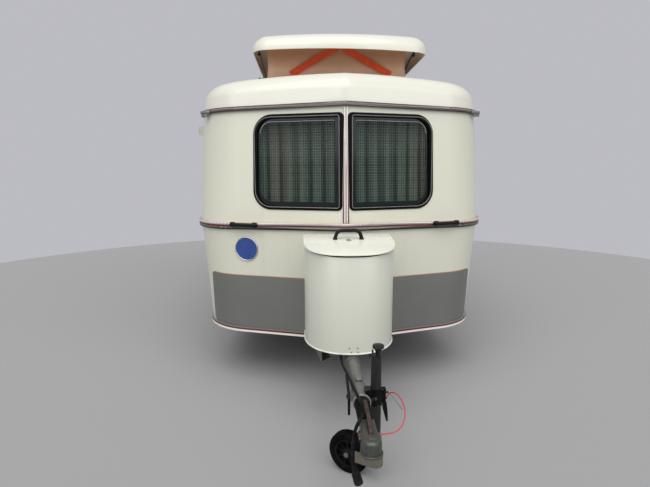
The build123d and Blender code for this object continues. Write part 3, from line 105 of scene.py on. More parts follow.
class Finish:
    """A material and its nodes. What varies over the surface is linked to the main shader."""

    def __init__(self, name, colour, roughness=0.5, **sockets):
        self.material = bpy.data.materials.new(name)
        self.material.use_nodes = True
        self.tree = self.material.node_tree
        self.shader = self.tree.nodes["Principled BSDF"]
        self.give(base_color=colour, roughness=roughness, **sockets)
        self.spot = self.add("TexCoord", out="Object")

    def put(self, socket, value):
        if isinstance(value, Output):
            self.tree.links.new(value.socket, socket)
        elif hasattr(value, "__len__") and len(value) == 3 and socket.type == "RGBA":
            socket.default_value = (*value, 1.0)
        else:
            socket.default_value = value

    def add(self, kind, settings=None, values=None, out=0):
        node = self.tree.nodes.new("ShaderNode" + kind)
        for key, value in (settings or {}).items():
            if key == "stops":
                ramp = node.color_ramp.elements
                for place, (at, colour) in enumerate(value):
                    stop = ramp[place] if place < 2 else ramp.new(at)
                    stop.position, stop.color = at, (*colour, 1.0)
            else:
                setattr(node, key, value)
        for key, value in (values or {}).items():
            self.put(node.inputs[key], value)
        return Output(self, node.outputs[out])

    def maths(self, operation, *values):
        return self.add("Math", {"operation": operation}, dict(enumerate(values)))

    def give(self, **sockets):
        for key, value in sockets.items():
            self.put(self.shader.inputs[key.replace("_", " ").title().replace("Ior", "IOR")], value)
        return self

    def along(self, axis):
        """The object coordinate along X, Y or Z, in metres."""
        return self.add("SeparateXYZ", {}, {"Vector": self.spot}, out=axis)

    def noise(self, scale, detail=3, stretch=(1, 1, 1)):
        where = self.add("Mapping", {}, {"Vector": self.spot, "Scale": stretch})
        return self.add("TexNoise", {}, {"Vector": where, "Scale": scale, "Detail": detail})

    def cells(self, scale, out="Distance"):
        return self.add("TexVoronoi", {}, {"Vector": self.spot, "Scale": scale}, out=out)

    def mix(self, factor, low, high):
        return self.add("Mix", {"data_type": "RGBA"}, {"Factor": factor, 6: low, 7: high}, out=2)

    def ramp(self, factor, *stops):
        return self.add("ValToRGB", {"stops": stops}, {"Fac": factor})

    def bump(self, height, distance, strength=1.0):
        return self.add("Bump", {}, {"Height": height, "Distance": distance, "Strength": strength})

    def on(self, *names):
        for name in names:
            node = nodes[name] if isinstance(name, str) else name
            node.data.materials.clear()
            node.data.materials.append(self.material)
        return self


RUST_BROWN, SPANGLE = (0.16, 0.075, 0.035), 1.35   # the spangle's lighter cells, times the zinc's grey


def galvanised(name, colour, rust):
    """Dull zinc with faint spangle, brown stains and a share of rust."""
    zinc = Finish(name, colour, 0.5)
    spangle = zinc.cells(60).fade(0, 0.7)
    stain = zinc.noise(9, 6).fade(0.66 - rust, 0.86 - rust)
    plain = zinc.mix(spangle, colour, tuple(min(1, c * SPANGLE) for c in colour))
    zinc.give(base_color=zinc.mix(stain, plain, RUST_BROWN),
              metallic=0.55 - stain * 0.5,
              roughness=zinc.noise(30, 4) * 0.25 + stain * 0.3 + 0.32,
              normal=zinc.bump(zinc.noise(90, 5), 0.0006))
    return zinc


galvanised("chassis_zinc", (0.19, 0.185, 0.17), 0.10).on("chassis", "steady_brackets")
galvanised("drawbar_zinc", (0.15, 0.15, 0.14), 0.10).on("drawbar_tube")

# ------------------------ corner steadies
# Four folded steel legs, zinc plated and stained brown at the foot plates. Each turns on a pivot
# under a corner of the floor and lies flat below it for the road.
galvanised("steady_zinc", (0.24, 0.235, 0.215), 0.06).on(
    *("steady_" + corner for corner in ("front_left", "front_right", "rear_left", "rear_right")))

# ------------------------ axle
# A steel beam that is bolted below the chassis, with rubber-sprung trailing arms. It is painted
# black, chipped to rust by stones and dusty.
AXLE_BLACK, AXLE_DUST, AXLE_RUST = (0.018, 0.018, 0.018), (0.12, 0.10, 0.08), (0.15, 0.08, 0.04)
axle_paint = Finish("axle_paint", AXLE_BLACK, 0.5)
chips = axle_paint.noise(45, 6).fade(0.60, 0.66)
dust = axle_paint.noise(6, 4).fade(0.35, 0.8)
dusted = axle_paint.mix(dust, AXLE_BLACK, AXLE_DUST)
axle_paint.give(base_color=axle_paint.mix(chips, dusted, AXLE_RUST),
                roughness=chips * 0.3 + dust * 0.2 + 0.4,
                normal=axle_paint.bump(axle_paint.noise(80, 4), 0.0008))
axle_paint.on("axle_beam")

# ------------------------ road wheels
# Pressed steel wheels in silver paint, each with five bolts, and black tyres whose tread has
# five ribs cut by cross slots. A tyre is turned from its section.
HUB_Z, AXLE_Y, TRACK_HALF = 0.289, 0.742, 0.85
TYRE_SECTION = [  # from the middle outwards: distance from the middle plane, radius
    (0, 0.289), (0.012, 0.289), (0.0125, 0.282), (0.0195, 0.282), (0.020, 0.2886), (0.042, 0.2878),
    (0.0425, 0.281), (0.0495, 0.281), (0.050, 0.2868), (0.0655, 0.284), (0.0735, 0.272), (0.0773, 0.244),
    (0.0765, 0.216), (0.069, 0.194), (0.059, 0.182), (0.0535, 0.170), (0.052, 0.165),
]
TYRE_STEPS, SLOT_EVERY, SLOT_EDGE, SLOT_DEPTH, TREAD_R = 120, 3, 0.0006, 0.006, 0.2838
BOLTS, BOLT_RING, BOLT_SEAT = 5, 0.056, 0.016
BOLT_STEPS = ((0.012, 6, 0.0095), (0.018, 12, 0.0057))   # length, sides, radius of its head and its end


def aged(name, clean, soiled, patches, rough, grain=None, **sockets):
    """A finish that goes from clean to soiled over patches of noise: their scale, their detail, and
    where they start and end. Roughness varies with them (by how much, from what), and the bump is a
    fine grain (scale, detail, depth)."""
    finish = Finish(name, clean, sum(rough), **sockets)
    mask = finish.noise(*patches[:2])
    finish.patches = mask.fade(*patches[2:]) if patches[2:] else mask
    finish.give(base_color=finish.mix(finish.patches, clean, soiled),
                roughness=finish.patches * rough[0] + rough[1])
    if grain:
        finish.give(normal=finish.bump(finish.noise(*grain[:2]), grain[2]))
    return finish


def dressed(name, data, body, finish, slot, *hidden):
    """A new piece in its finish, riding on a body, in the place of the hidden nodes."""
    part = bpy.data.objects.new(name, data)
    bpy.context.scene.collection.objects.link(part)
    finish.on(part)
    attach(part, body)
    if hidden:
        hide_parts(*hidden)
    return part


def fit(name, shape, body, finish, slot, *hidden, crease=35):
    """A new piece from a bmesh, smooth but for its creases."""
    mesh = bpy.data.meshes.new(name)
    shape.to_mesh(mesh)
    shape.free()
    mesh.shade_smooth()
    mesh.set_sharp_from_angle(angle=radians(crease))
    return dressed(name, mesh, body, finish, slot, *hidden)


def spun(shape, axis, steps):
    """Turns an outline full circle about an axis through the origin, with its faces outwards."""
    bmesh.ops.spin(shape, geom=shape.verts[:] + shape.edges[:], axis=axis, cent=(0, 0, 0), angle=2 * pi,
                   steps=steps, use_merge=True)
    bmesh.ops.remove_doubles(shape, verts=shape.verts, dist=1e-6)
    bmesh.ops.recalc_face_normals(shape, faces=shape.faces)


def peg(shape, sides, radius, tip, length, place):
    """A peg about the Z axis of its place, this wide at its foot and its tip."""
    return bmesh.ops.create_cone(shape, cap_ends=True, segments=sides, radius1=radius, radius2=tip,
                                 depth=length, matrix=place)


tyre_rubber = aged("tyre_rubber", (0.012, 0.012, 0.012), (0.045, 0.042, 0.037), (7, 5, 0.3, 0.75),
                   (0.2, 0.65), (260, 3, 0.0004), specular_ior_level=0.2)
rim_silver = aged("rim_silver", (0.55, 0.55, 0.54), (0.16, 0.12, 0.09), (11, 6, 0.42, 0.78),
                  (0.35, 0.3), (150, 3, 0.0003))
rim_silver.give(metallic=0.6 - rim_silver.patches * 0.5)
rim_silver.on("rim_left", "rim_right")
bolt_steel = galvanised("bolt_steel", (0.26, 0.25, 0.24), 0.12)

for side, s in (("left", -1), ("right", 1)):
    tyre = bmesh.new()
    section = [tyre.verts.new((x, 0, r)) for x, r in TYRE_SECTION]
    section += [tyre.verts.new((-x, 0, r)) for x, r in TYRE_SECTION[:0:-1]]
    for near, far in zip(section, section[1:] + section[:1]):
        tyre.edges.new((near, far))
    spun(tyre, (1, 0, 0), TYRE_STEPS)
    step, slots = 2 * pi / TYRE_STEPS, []
    for face in tyre.faces:
        spot = face.calc_center_median().yz
        place = round((spot.angle_signed(Vector((0, 1))) + pi) / step)
        if hypot(*spot) > TREAD_R and abs(face.normal.x) < 0.5 and place % SLOT_EVERY == 0:
            slots.append(face)
    bmesh.ops.inset_individual(tyre, faces=slots, thickness=SLOT_EDGE, depth=-SLOT_DEPTH)
    bmesh.ops.translate(tyre, verts=tyre.verts, vec=(s * TRACK_HALF, AXLE_Y, HUB_Z))
    fit(f"tread_{side}", tyre, f"wheel_{side}", tyre_rubber, "tyre", f"tyre_{side}")

    bolts = bmesh.new()
    for i in range(BOLTS):
        turn = Matrix.Rotation(2 * pi * i / BOLTS, 4, "X")
        for length, sides, radius in BOLT_STEPS:
            peg(bolts, sides, radius, radius, length,
                Matrix.Translation((s * TRACK_HALF, AXLE_Y, HUB_Z)) @ turn
                @ Matrix.Translation((s * (BOLT_SEAT + length / 2), 0, BOLT_RING))
                @ Matrix.Rotation(pi / 2, 4, "Y"))
    fit(f"wheel_bolts_{side}", bolts, f"wheel_{side}", bolt_steel, "steel")

# ------------------------ hitch
# The coupling head is pressed steel, zinc plated and greasy, with a rusty closing lever. Behind it
# a ribbed rubber gaiter covers the draw shaft, and the handbrake lever beside it is painted black.
galvanised("head_zinc", (0.066, 0.066, 0.060), 0.10).on("coupling_head")
RUST_STOPS = (0.3, (0.022, 0.018, 0.016)), (0.55, (0.055, 0.035, 0.024)), (0.75, (0.12, 0.060, 0.032))
lever_rust = Finish("lever_rust", (0.11, 0.06, 0.035), 0.75, metallic=0.2)
scale_marks = lever_rust.noise(60, 6)
lever_rust.give(base_color=lever_rust.ramp(scale_marks, *RUST_STOPS),
                roughness=scale_marks * 0.3 + 0.55, normal=lever_rust.bump(scale_marks, 0.0012))
lever_rust.on("coupling_handle")
aged("gaiter_rubber", (0.003, 0.003, 0.003), (0.018, 0.017, 0.016), (22, 5, 0.35, 0.8), (0.3, 0.42),
     (220, 3, 0.0003), specular_ior_level=0.06).on("bellows")

LEVER_BLACK, RUBBED_STEEL, ROD_STEEL = (0.003, 0.003, 0.003), (0.10, 0.095, 0.085), (0.30, 0.29, 0.26)
ROD_X = 0.119                      # the clamp's screw is bare steel beyond this
worn_black = Finish("worn_black", LEVER_BLACK, 0.4, specular_ior_level=0.15)
rubbed = worn_black.noise(38, 6).fade(0.62, 0.68)
bare_rod = worn_black.along("X").fade(ROD_X, ROD_X + 0.004)
painted = worn_black.mix(rubbed, LEVER_BLACK, RUBBED_STEEL)
worn_black.give(base_color=worn_black.mix(bare_rod, painted, ROD_STEEL),
                metallic=rubbed * 0.7, roughness=worn_black.noise(14, 3) * 0.25 + 0.28,
                normal=worn_black.bump(worn_black.noise(120, 4), 0.0004))
worn_black.on("handbrake_lever", "jockey_clamp")

# ------------------------ jockey wheel
# A zinc-plated tube with a crank on top, a pressed fork and a small wheel: black spoked hub and
# a solid rubber tyre, scuffed grey round the tread.
galvanised("jockey_zinc", (0.020, 0.021, 0.019), 0.04).on("jockey_tube")
galvanised("fork_zinc", (0.15, 0.14, 0.115), 0.07).on("jockey_fork")
hub_plastic = aged("hub_plastic", (0.005, 0.005, 0.005), (0.022, 0.021, 0.020), (30, 4, 0.4, 0.8),
                   (0.25, 0.38), (200, 3, 0.0003), specular_ior_level=0.10).on("jockey_hub")
aged("scuffed_rubber", (0.0015, 0.0015, 0.0015), (0.008, 0.0075, 0.007), (26, 6, 0.38, 0.72), (0.2, 0.6),
     (150, 4, 0.0006), specular_ior_level=0.05).on("jockey_tyre")

# ------------------------ electric lead and breakaway cable
# The black lead to the towing car runs from a gland under the locker over the drawbar, then hangs
# with its plug beside the coupling. The red cable from the brake lies in a high loop.
LEAD_R, BREAKAWAY_R = 0.0070, 0.0025
FRONT = -1.108                     # Y of the belt rail's front centre


def front(distance):
    """Y of a point this far behind the belt rail's front centre."""
    return FRONT + distance


def route(*points):
    """Points of a cord, given as x, the distance behind the belt rail's front centre and z."""
    return [(x, front(distance), z) for x, distance, z in points]


LEAD = route(
    (-0.050, -0.229, 0.428), (-0.054, -0.290, 0.428), (-0.058, -0.360, 0.429),
    (-0.061, -0.430, 0.430), (-0.061, -0.500, 0.430), (-0.056, -0.570, 0.433),
    (-0.048, -0.640, 0.439), (-0.042, -0.710, 0.444), (-0.037, -0.780, 0.447),
    (-0.030, -0.850, 0.450), (-0.020, -0.920, 0.449), (-0.008, -0.985, 0.447),
    (0.002, -1.036, 0.447), (-0.012, -1.072, 0.450), (-0.034, -1.096, 0.438),
    (-0.051, -1.110, 0.411), (-0.060, -1.115, 0.368), (-0.063, -1.115, 0.320),
    (-0.064, -1.1155, 0.272), (-0.055, -1.116, 0.240),
)
BREAKAWAY = route(
    (0.1145, -0.850, 0.404), (0.118, -0.872, 0.434), (0.127, -0.904, 0.462), (0.141, -0.946, 0.477),
    (0.154, -0.994, 0.474), (0.160, -1.046, 0.460), (0.152, -1.092, 0.432), (0.124, -1.118, 0.404),
    (0.083, -1.126, 0.394), (0.041, -1.124, 0.392),
)


def lay_cord(name, points, radius, finish, slot, node):
    """A round cord on a smooth spline with these control points."""
    line = bpy.data.curves.new(name, "CURVE")
    line.dimensions, line.bevel_depth, line.bevel_resolution, line.resolution_u = "3D", radius, 5, 10
    spline = line.splines.new("NURBS")
    spline.points.add(len(points) - 1)
    for point, at in zip(spline.points, points):
        point.co = (*at, 1)
    spline.order_u, spline.use_endpoint_u = 3, True
    line.use_fill_caps = True
    return dressed(name, line, "trailer", finish, slot, node)


lead_sheath = aged("lead_sheath", (0.006, 0.006, 0.007), (0.035, 0.033, 0.030), (35, 4, 0.4, 0.8),
                   (0.3, 0.42), (300, 2, 0.0002), specular_ior_level=0.05)
lead = lay_cord("lead_cord", LEAD, LEAD_R, lead_sheath, "rubber", "electric_lead")
red_sheath = aged("red_sheath", (0.66, 0.015, 0.03), (0.50, 0.05, 0.05), (60, 3), (0.2, 0.28),
                  (400, 2, 0.0002))
red_cable = lay_cord("red_cable", BREAKAWAY, BREAKAWAY_R, red_sheath, "red_cable", "breakaway_cable")

PLUG_SECTION = [  # distance along the plug, radius
    (0, 0.0072), (0, 0.010), (0.005, 0.011), (0.007, 0.0098), (0.010, 0.012), (0.012, 0.0106),
    (0.016, 0.0135), (0.024, 0.015), (0.025, 0.0185), (0.030, 0.019), (0.034, 0.0178), (0.038, 0.019),
    (0.042, 0.0178), (0.046, 0.019), (0.066, 0.019), (0.068, 0.0175), (0.068, 0.0145), (0.056, 0.014),
    (0.056, 0),
]
GLAND_SECTION = [  # distance along the gland, radius: a nut on the floor, then a tapered sleeve
    (-0.004, 0), (-0.004, 0.013), (0.006, 0.013), (0.007, 0.010), (0.012, 0.0095), (0.014, 0.0085),
    (0.019, 0.0085), (0.021, 0.0082), (0.032, 0.0078), (0.032, 0.0069),
]


def towards(start, line):
    """The place at a point with its Z axis along a line."""
    return Matrix.Translation(start) @ Vector(line).to_track_quat("Z", "Y").to_matrix().to_4x4()


def turned(section, start, line, steps=28):
    """A solid turned from its section about a line."""
    shape = bmesh.new()
    verts = [shape.verts.new((r, 0, t)) for t, r in section]
    for near, far in zip(verts, verts[1:]):
        shape.edges.new((near, far))
    spun(shape, (0, 0, 1), steps)
    bmesh.ops.transform(shape, matrix=towards(start, line), verts=shape.verts)
    return shape


lead_start, lead_next, lead_before, lead_end = (Vector(LEAD[i]) for i in (0, 1, -2, -1))
plug = turned(PLUG_SECTION, lead_end, (lead_end - lead_before).normalized())
plug_piece = fit("plug_shell", plug, "trailer", hub_plastic, "black_plastic", "lead_plug")
gland = turned(GLAND_SECTION, lead_start, (lead_next - lead_start).normalized(), 18)
gland_piece = fit("lead_gland", gland, "trailer", hub_plastic, "black_plastic")

# ------------------------ floor and wheel boxes
# A plywood floor that is screwed to the chassis, and plywood boxes over the wheels. Both are
# stained dark with preservative, and their grain runs along the body.
GRAIN_STOPS = (0.3, (0.055, 0.035, 0.022)), (0.55, (0.12, 0.075, 0.045)), (0.8, (0.17, 0.11, 0.065))
plywood = Finish("stained_plywood", (0.10, 0.065, 0.04), 0.7)
grain = plywood.noise(14, 5, stretch=(6, 0.7, 3))
plywood.give(base_color=plywood.ramp(grain, *GRAIN_STOPS),
             roughness=grain * 0.2 + 0.6, normal=plywood.bump(grain, 0.0012))
plywood.on("floor", "wheel_boxes")

# ------------------------ body walls
# Sandwich walls with an outer skin of enamelled aluminium sheet, warm white, gone faintly grey-green
# towards the sill, with rain streaks under the rails.
BELT_Z, GUTTER_Z = 1.079, 1.810
ENAMEL, ENAMEL_LOW = (0.74, 0.745, 0.62), (0.655, 0.67, 0.56)
STREAK, SPECK = (0.42, 0.41, 0.33), (0.25, 0.20, 0.14)


def enamel(name, colour, low, roughness):
    """Sprayed enamel, with another tone low down, rain streaks and specks of road dirt."""
    paint = Finish(name, colour, roughness, coat_weight=0.25, coat_roughness=0.40)
    low_down = paint.along("Z").fade(1.25, 0.35)
    blotch = paint.noise(1.7, 5)
    run = paint.noise(16, 4, stretch=(1, 1, 0.06)).fade(0.56, 0.80)
    under = (paint.along("Z") - BELT_Z).size().fade(0.42, 0.0)
    specks = paint.noise(130, 2).fade(0.72, 0.78)
    base = paint.mix(low_down * 0.8 + blotch * 0.25 - 0.1, colour, low)
    streaked = paint.mix(run * (under * 0.10 + low_down * 0.09 + 0.02), base, STREAK)
    paint.give(base_color=paint.mix(specks * (low_down * 0.35 + 0.04), streaked, SPECK),
               roughness=blotch * 0.10 + run * 0.08 + roughness - 0.05,
               normal=paint.bump(paint.noise(1.9, 2), 0.003))
    return paint


enamel("wall_enamel", ENAMEL, ENAMEL_LOW, 0.30).on("front_wall", "rear_wall", "side_wall_right",
                                                   "side_wall_left")

# ------------------------ entrance door
# The door is a panel of the same wall, painted with it. Its hinges stand off on cast arms, and a
# moulded grip with a lock below it closes it at the rear edge.
DOOR_ENAMEL, HINGE_ENAMEL = (0.745, 0.75, 0.625), (0.60, 0.60, 0.52)
enamel("door_enamel", DOOR_ENAMEL, ENAMEL_LOW, 0.28).on("entrance_door")
cast_black = aged("cast_black", (0.003, 0.003, 0.003), (0.014, 0.0135, 0.013), (50, 4, 0.45, 0.85),
                  (0.2, 0.36), (260, 3, 0.0003), specular_ior_level=0.2)
enamel("hinge_enamel", HINGE_ENAMEL, HINGE_ENAMEL, 0.35).on("wall_hinge_leaves")
leaf_enamel = enamel("leaf_enamel", HINGE_ENAMEL, HINGE_ENAMEL, 0.35)


def merged(node):
    """A copy of a CAD piece with its doubles merged."""
    copy = bmesh.new()
    copy.from_mesh(nodes[node].data)
    bmesh.ops.remove_doubles(copy, verts=copy.verts, dist=1e-6)
    return copy


def part_of(name, node, body, finish, slot, wanted, *hidden):
    """The solids of a node that lie where wanted, as a piece of their own."""
    copy = merged(node)
    bmesh.ops.delete(copy, geom=[vert for vert in copy.verts if not wanted(vert.co)], context="VERTS")
    return fit(name, copy, body, finish, slot, *hidden)


HANDLE_FROM = -0.1                 # the handle is behind this Y and the hinges ahead of it
part_of("door_handle", "door_furniture", "door", cast_black, "black_plastic",
        lambda at: at.y > HANDLE_FROM, "door_furniture")
part_of("door_hinges", "door_furniture", "door", leaf_enamel, "black_plastic",
        lambda at: at.y < HANDLE_FROM)

# ------------------------ rails round the body
# Extruded aluminium rails are screwed over the seams of the walls. Each is coloured in bands: white
# along its rounded top as a painted highlight, a dark red vinyl insert in its channel, darker metal
# below as painted shade and black at its foot as a painted shadow; the upright strips carry two red
# lines, and zinc clamps hold the gutter at its front corners.
# the white band is a painted highlight, and the near black is a painted shadow at the rails' feet
WHITE_BAND, RED_INSERT, SHADOW_BLACK = (0.90, 0.89, 0.86), (0.115, 0.008, 0.008), (0.012, 0.012, 0.012)
RAIL_DIRT, WANDER = (0.15, 0.12, 0.10), 0.0012


def banded(name, axis, span, *bands):
    """Rail metal in bands across it: each band has where it starts, in metres, and its colour."""
    rail = Finish(name, WHITE_BAND, 0.35)
    if axis == "band":
        across = rail.add("Attribute", {"attribute_name": "band"}, out="Fac")
    else:
        across = rail.along(axis).size()
    wander = rail.noise(9, 3) * WANDER - WANDER / 2
    low, high = span
    colours = rail.ramp((across + wander - low) / (high - low),
                        *(((at - low) / (high - low), colour) for at, colour in bands))
    colours.socket.node.color_ramp.interpolation = "CONSTANT"
    soiled = rail.noise(24, 6).fade(0.50, 0.85)
    rail.give(base_color=rail.mix(soiled * 0.22, colours, RAIL_DIRT), roughness=soiled * 0.3 + 0.3,
              metallic=0.1, normal=rail.bump(rail.noise(180, 3), 0.0002))
    return rail


def reshaped(name, node, body, finish, slot, move, crease=30):
    """A merged copy of a node with its points moved, which takes the node's place. Each point keeps
    its old height as the attribute that the bands follow."""
    copy = merged(node)
    band = copy.verts.layers.float.new("band")
    for vert in copy.verts:
        vert[band] = vert.co.z
        vert.co = move(vert.co)
    return fit(name, copy, body, finish, slot, node, crease=crease)


def share(value, start, end):
    """0 before start, 1 after end and smooth between."""
    part = min(1.0, max(0.0, (value - start) / (end - start)))
    return part * part * (3 - 2 * part)


def ease(shape, edges, offset, segments=2):
    """Rounds these edges."""
    bmesh.ops.bevel(shape, geom=edges, offset=offset, offset_type="OFFSET", segments=segments,
                    profile=0.5, affect="EDGES", material=-1)


BELT_SQUASH, BELT_DROP, BODY_HALF = 0.82, 0.014, 0.95
GUTTER_SQUASH, GUTTER_LIFT, GUTTER_PEAK, GUTTER_FROM, GUTTER_FULL = 0.80, 0.004, 0.014, -0.20, -0.70
STRIP_FOOT = 0.028
CLAMP_Y, CLAMP_DROP, CLAMP_TURN, CLAMP_TAPER = front(0.395), 0.014, 0.55, 0.9
CLAMP_BARS = ((0.013, 0.853, 0.931, 0.0), (0.008, 0.872, 0.927, 0.019))  # radius, from x, to x, drop


def belt_line(at):
    """The belt rail is narrower than its solid, and lower away from the middle of its front."""
    drop = BELT_DROP * (min(1, abs(at.x) / BODY_HALF) if at.y < 0 else 1)
    return Vector((at.x, at.y, BELT_Z + (at.z - BELT_Z) * BELT_SQUASH - drop))


def gutter_lift(at):
    """The rise of the gutter over the front, with its peak in the middle."""
    peak = GUTTER_PEAK * (1 - min(1, abs(at.x) / BODY_HALF))
    return (GUTTER_LIFT + peak) * share(at.y, GUTTER_FROM, GUTTER_FULL)


def gutter_line(at):
    """The gutter rail is narrower than its solid and follows the rise."""
    return at + Vector((0, 0, gutter_lift(at) + (GUTTER_Z - 0.001 - at.z) * (1 - GUTTER_SQUASH)))


def strip_line(at):
    """The centre strips reach the belt rail and the gutter where these have moved."""
    foot = share(at.z, 1.3, 1.1) * (1 - BELT_SQUASH) * -STRIP_FOOT
    return at + Vector((0, 0, foot + share(at.z, 1.5, 1.77) * gutter_lift(at)))


# belt rail, from its foot: painted shadow, grey painted shade, the red insert, the white painted
# highlight and a thin orange-brown line on top
belt_bands = banded("belt_bands", "band", (1.04, 1.12), (1.04, SHADOW_BLACK),
                    (1.0590, (0.13, 0.127, 0.127)), (1.0735, RED_INSERT), (1.0860, WHITE_BAND),
                    (1.1060, (0.50, 0.33, 0.24)))
reshaped("belt_rail_round", "belt_rail", "trailer", belt_bands, "rail", belt_line)
reshaped("belt_rail_door", "door_rail", "door", belt_bands, "rail", belt_line)
# gutter rail, from its foot: painted shadow, dark grey painted shade, the red-brown insert, a pale
# painted highlight and a dark line on top
gutter_bands = banded("gutter_bands", "band", (1.77, 1.82), (1.77, SHADOW_BLACK),
                      (1.7830, (0.075, 0.07, 0.068)), (1.7895, (0.15, 0.030, 0.022)),
                      (1.7945, (0.72, 0.69, 0.65)), (1.8030, (0.05, 0.045, 0.042)))
reshaped("gutter_rail_round", "gutter_rail", "trailer", gutter_bands, "rail", gutter_line)
gutter_clamps = bmesh.new()
for s in (-1, 1):
    for radius, from_x, to_x, drop in CLAMP_BARS:
        peg(gutter_clamps, 20, radius, radius * CLAMP_TAPER, to_x - from_x,
            Matrix.Translation((s * (from_x + to_x) / 2, CLAMP_Y, GUTTER_Z - CLAMP_DROP - drop))
            @ Matrix.Rotation(s * CLAMP_TURN, 4, "Z") @ Matrix.Rotation(s * pi / 2, 4, "Y"))
ease(gutter_clamps, [e for e in gutter_clamps.edges if e.calc_face_angle(0) > 1], 0.003)
clamp_zinc = galvanised("clamp_zinc", (0.20, 0.20, 0.19), 0.10)
fit("gutter_clamps", gutter_clamps, "trailer", clamp_zinc, "steel")
# sill rail: a white painted highlight along the top, the red insert and darker grey below as painted
# shade
banded("sill_bands", "Z", (0.34, 0.39), (0.34, WHITE_BAND), (0.3655, (0.20, 0.030, 0.018)),
       (0.3765, (0.22, 0.22, 0.21))).on("sill_rail")
strip_bands = banded("strip_bands", "X", (0, 0.02), (0, (0.30, 0.13, 0.12)), (0.0035, WHITE_BAND),
                     (0.0105, (0.15, 0.020, 0.020)), (0.0165, (0.16, 0.12, 0.12)))
reshaped("centre_strips_up", "centre_strips", "trailer", strip_bands, "rail", strip_line)

# ------------------------ stone guard
# A bare aluminium sheet bent round the lower front, dull and pitted by grit. It is bedded on
# sealant, which shows as a thin orange-brown line along the top.
GUARD_DARK, GUARD_LIGHT = (0.172, 0.178, 0.166), (0.270, 0.276, 0.258)
PIT, SEALANT, SEALANT_Z = (0.14, 0.13, 0.12), (0.50, 0.25, 0.13), 0.7385
guard_metal = Finish("guard_metal", GUARD_LIGHT, 0.5)
drawn = guard_metal.noise(36, 5, stretch=(0.25, 0.25, 7))
cloudy = guard_metal.noise(3.2, 5)
pits = guard_metal.cells(95).fade(0.16, 0.05)
edge_line = guard_metal.along("Z").above(SEALANT_Z)
sheet_colour = guard_metal.mix(drawn * 0.5 + cloudy * 0.5, GUARD_DARK, GUARD_LIGHT)
pitted = guard_metal.mix(pits, sheet_colour, PIT)
guard_metal.give(base_color=guard_metal.mix(edge_line, pitted, SEALANT),
                 metallic=0.6 - edge_line * 0.55, roughness=drawn * 0.18 + cloudy * 0.2 + 0.30,
                 normal=guard_metal.bump(drawn * 0.4 + pits * -0.6 + cloudy * 3, 0.0006))
guard_metal.on("stone_guard")

# ------------------------ windows
# Smoked acrylic panes in black rubber seals. A bright filler strip is pressed into each seal, and
# the pane has a moulded rim a little way in from its edge, coloured pale over the top as a painted
# highlight.
acrylic = aged("smoked_acrylic", (0.010, 0.016, 0.014), (0.030, 0.038, 0.035), (5, 5, 0.45, 0.9),
               (0.06, 0.035), alpha=0.34, specular_ior_level=0.22)
acrylic.on("front_windows", "side_windows", "rear_windows", "door_window")
seal_rubber = aged("seal_rubber", (0.002, 0.002, 0.002), (0.007, 0.007, 0.0065), (40, 4, 0.5, 0.9),
                   (0.3, 0.36), (240, 3, 0.0002), specular_ior_level=0.08)
seal_rubber.on("window_seals", "door_seal")
filler_metal = aged("filler_strip", (0.36, 0.335, 0.33), (0.17, 0.16, 0.16), (25, 5), (0.3, 0.18),
                    metallic=0.35)
# the rim's pale colour is a painted highlight
pane_rim_highlight = aged("pane_rim_highlight", (0.20, 0.235, 0.225), (0.46, 0.48, 0.47), (14, 4), (0.2, 0.08))
pane_border = aged("pane_border", (0.003, 0.007, 0.006), (0.009, 0.018, 0.015), (18, 4), (0.1, 0.05),
                   specular_ior_level=0.3)
WALL_FRAMES = {  # half width or set-back of the wall at the belt and at the gutter, slope in plan
    "front": (0.018, 0.063, 0.30), "rear": (0.018, 0.060, 0.16), "side": (0.982, 0.944, 0),
}
STERN = 2.370
PANES = [  # name, wall, side, from, to, height above the belt from, to, radius at from, at to
    ("front_right", "front", 1, 0.024, 0.604, 0.098, 0.686, 0.030, 0.120),
    ("front_left", "front", -1, 0.024, 0.604, 0.098, 0.686, 0.030, 0.120),
    ("rear_right", "rear", 1, 0.024, 0.560, 0.150, 0.640, 0.030, 0.110),
    ("rear_left", "rear", -1, 0.024, 0.560, 0.150, 0.640, 0.030, 0.110),
    ("right_fore", "side", 1, front(0.800), front(1.400), 0.120, 0.620, 0.070, 0.070),
    ("right_aft", "side", 1, front(1.560), front(2.700), 0.120, 0.620, 0.070, 0.070),
    ("left_aft", "side", -1, front(1.560), front(2.700), 0.120, 0.620, 0.070, 0.070),
    ("door", "side", -1, front(0.800), front(1.210), 0.150, 0.600, 0.060, 0.060),
]


def wall_frame(wall, side):
    """Origin at the belt, the way along the wall, the way up it and the way out of it."""
    low, high, slope = WALL_FRAMES[wall]
    rise = GUTTER_Z - BELT_Z
    if wall == "side":
        origin, along, out = (side * low, 0, BELT_Z), Vector((0, 1, 0)), Vector((side, 0, 0))
        up = Vector((side * (high - low), 0, rise))
    else:
        way, end = (1, FRONT) if wall == "front" else (-1, STERN)
        origin, out = (0, end + way * low, BELT_Z), Vector((0, -way, 0))
        along = Vector((side * cos(slope), way * sin(slope), 0))
        up = Vector((0, way * (high - low), rise))
    up.normalize()
    square = along.cross(up)
    return Vector(origin), along, up, square if square.dot(out) > 0 else -square


CORNER_STEPS, LEAST_CORNER = 8, 0.006


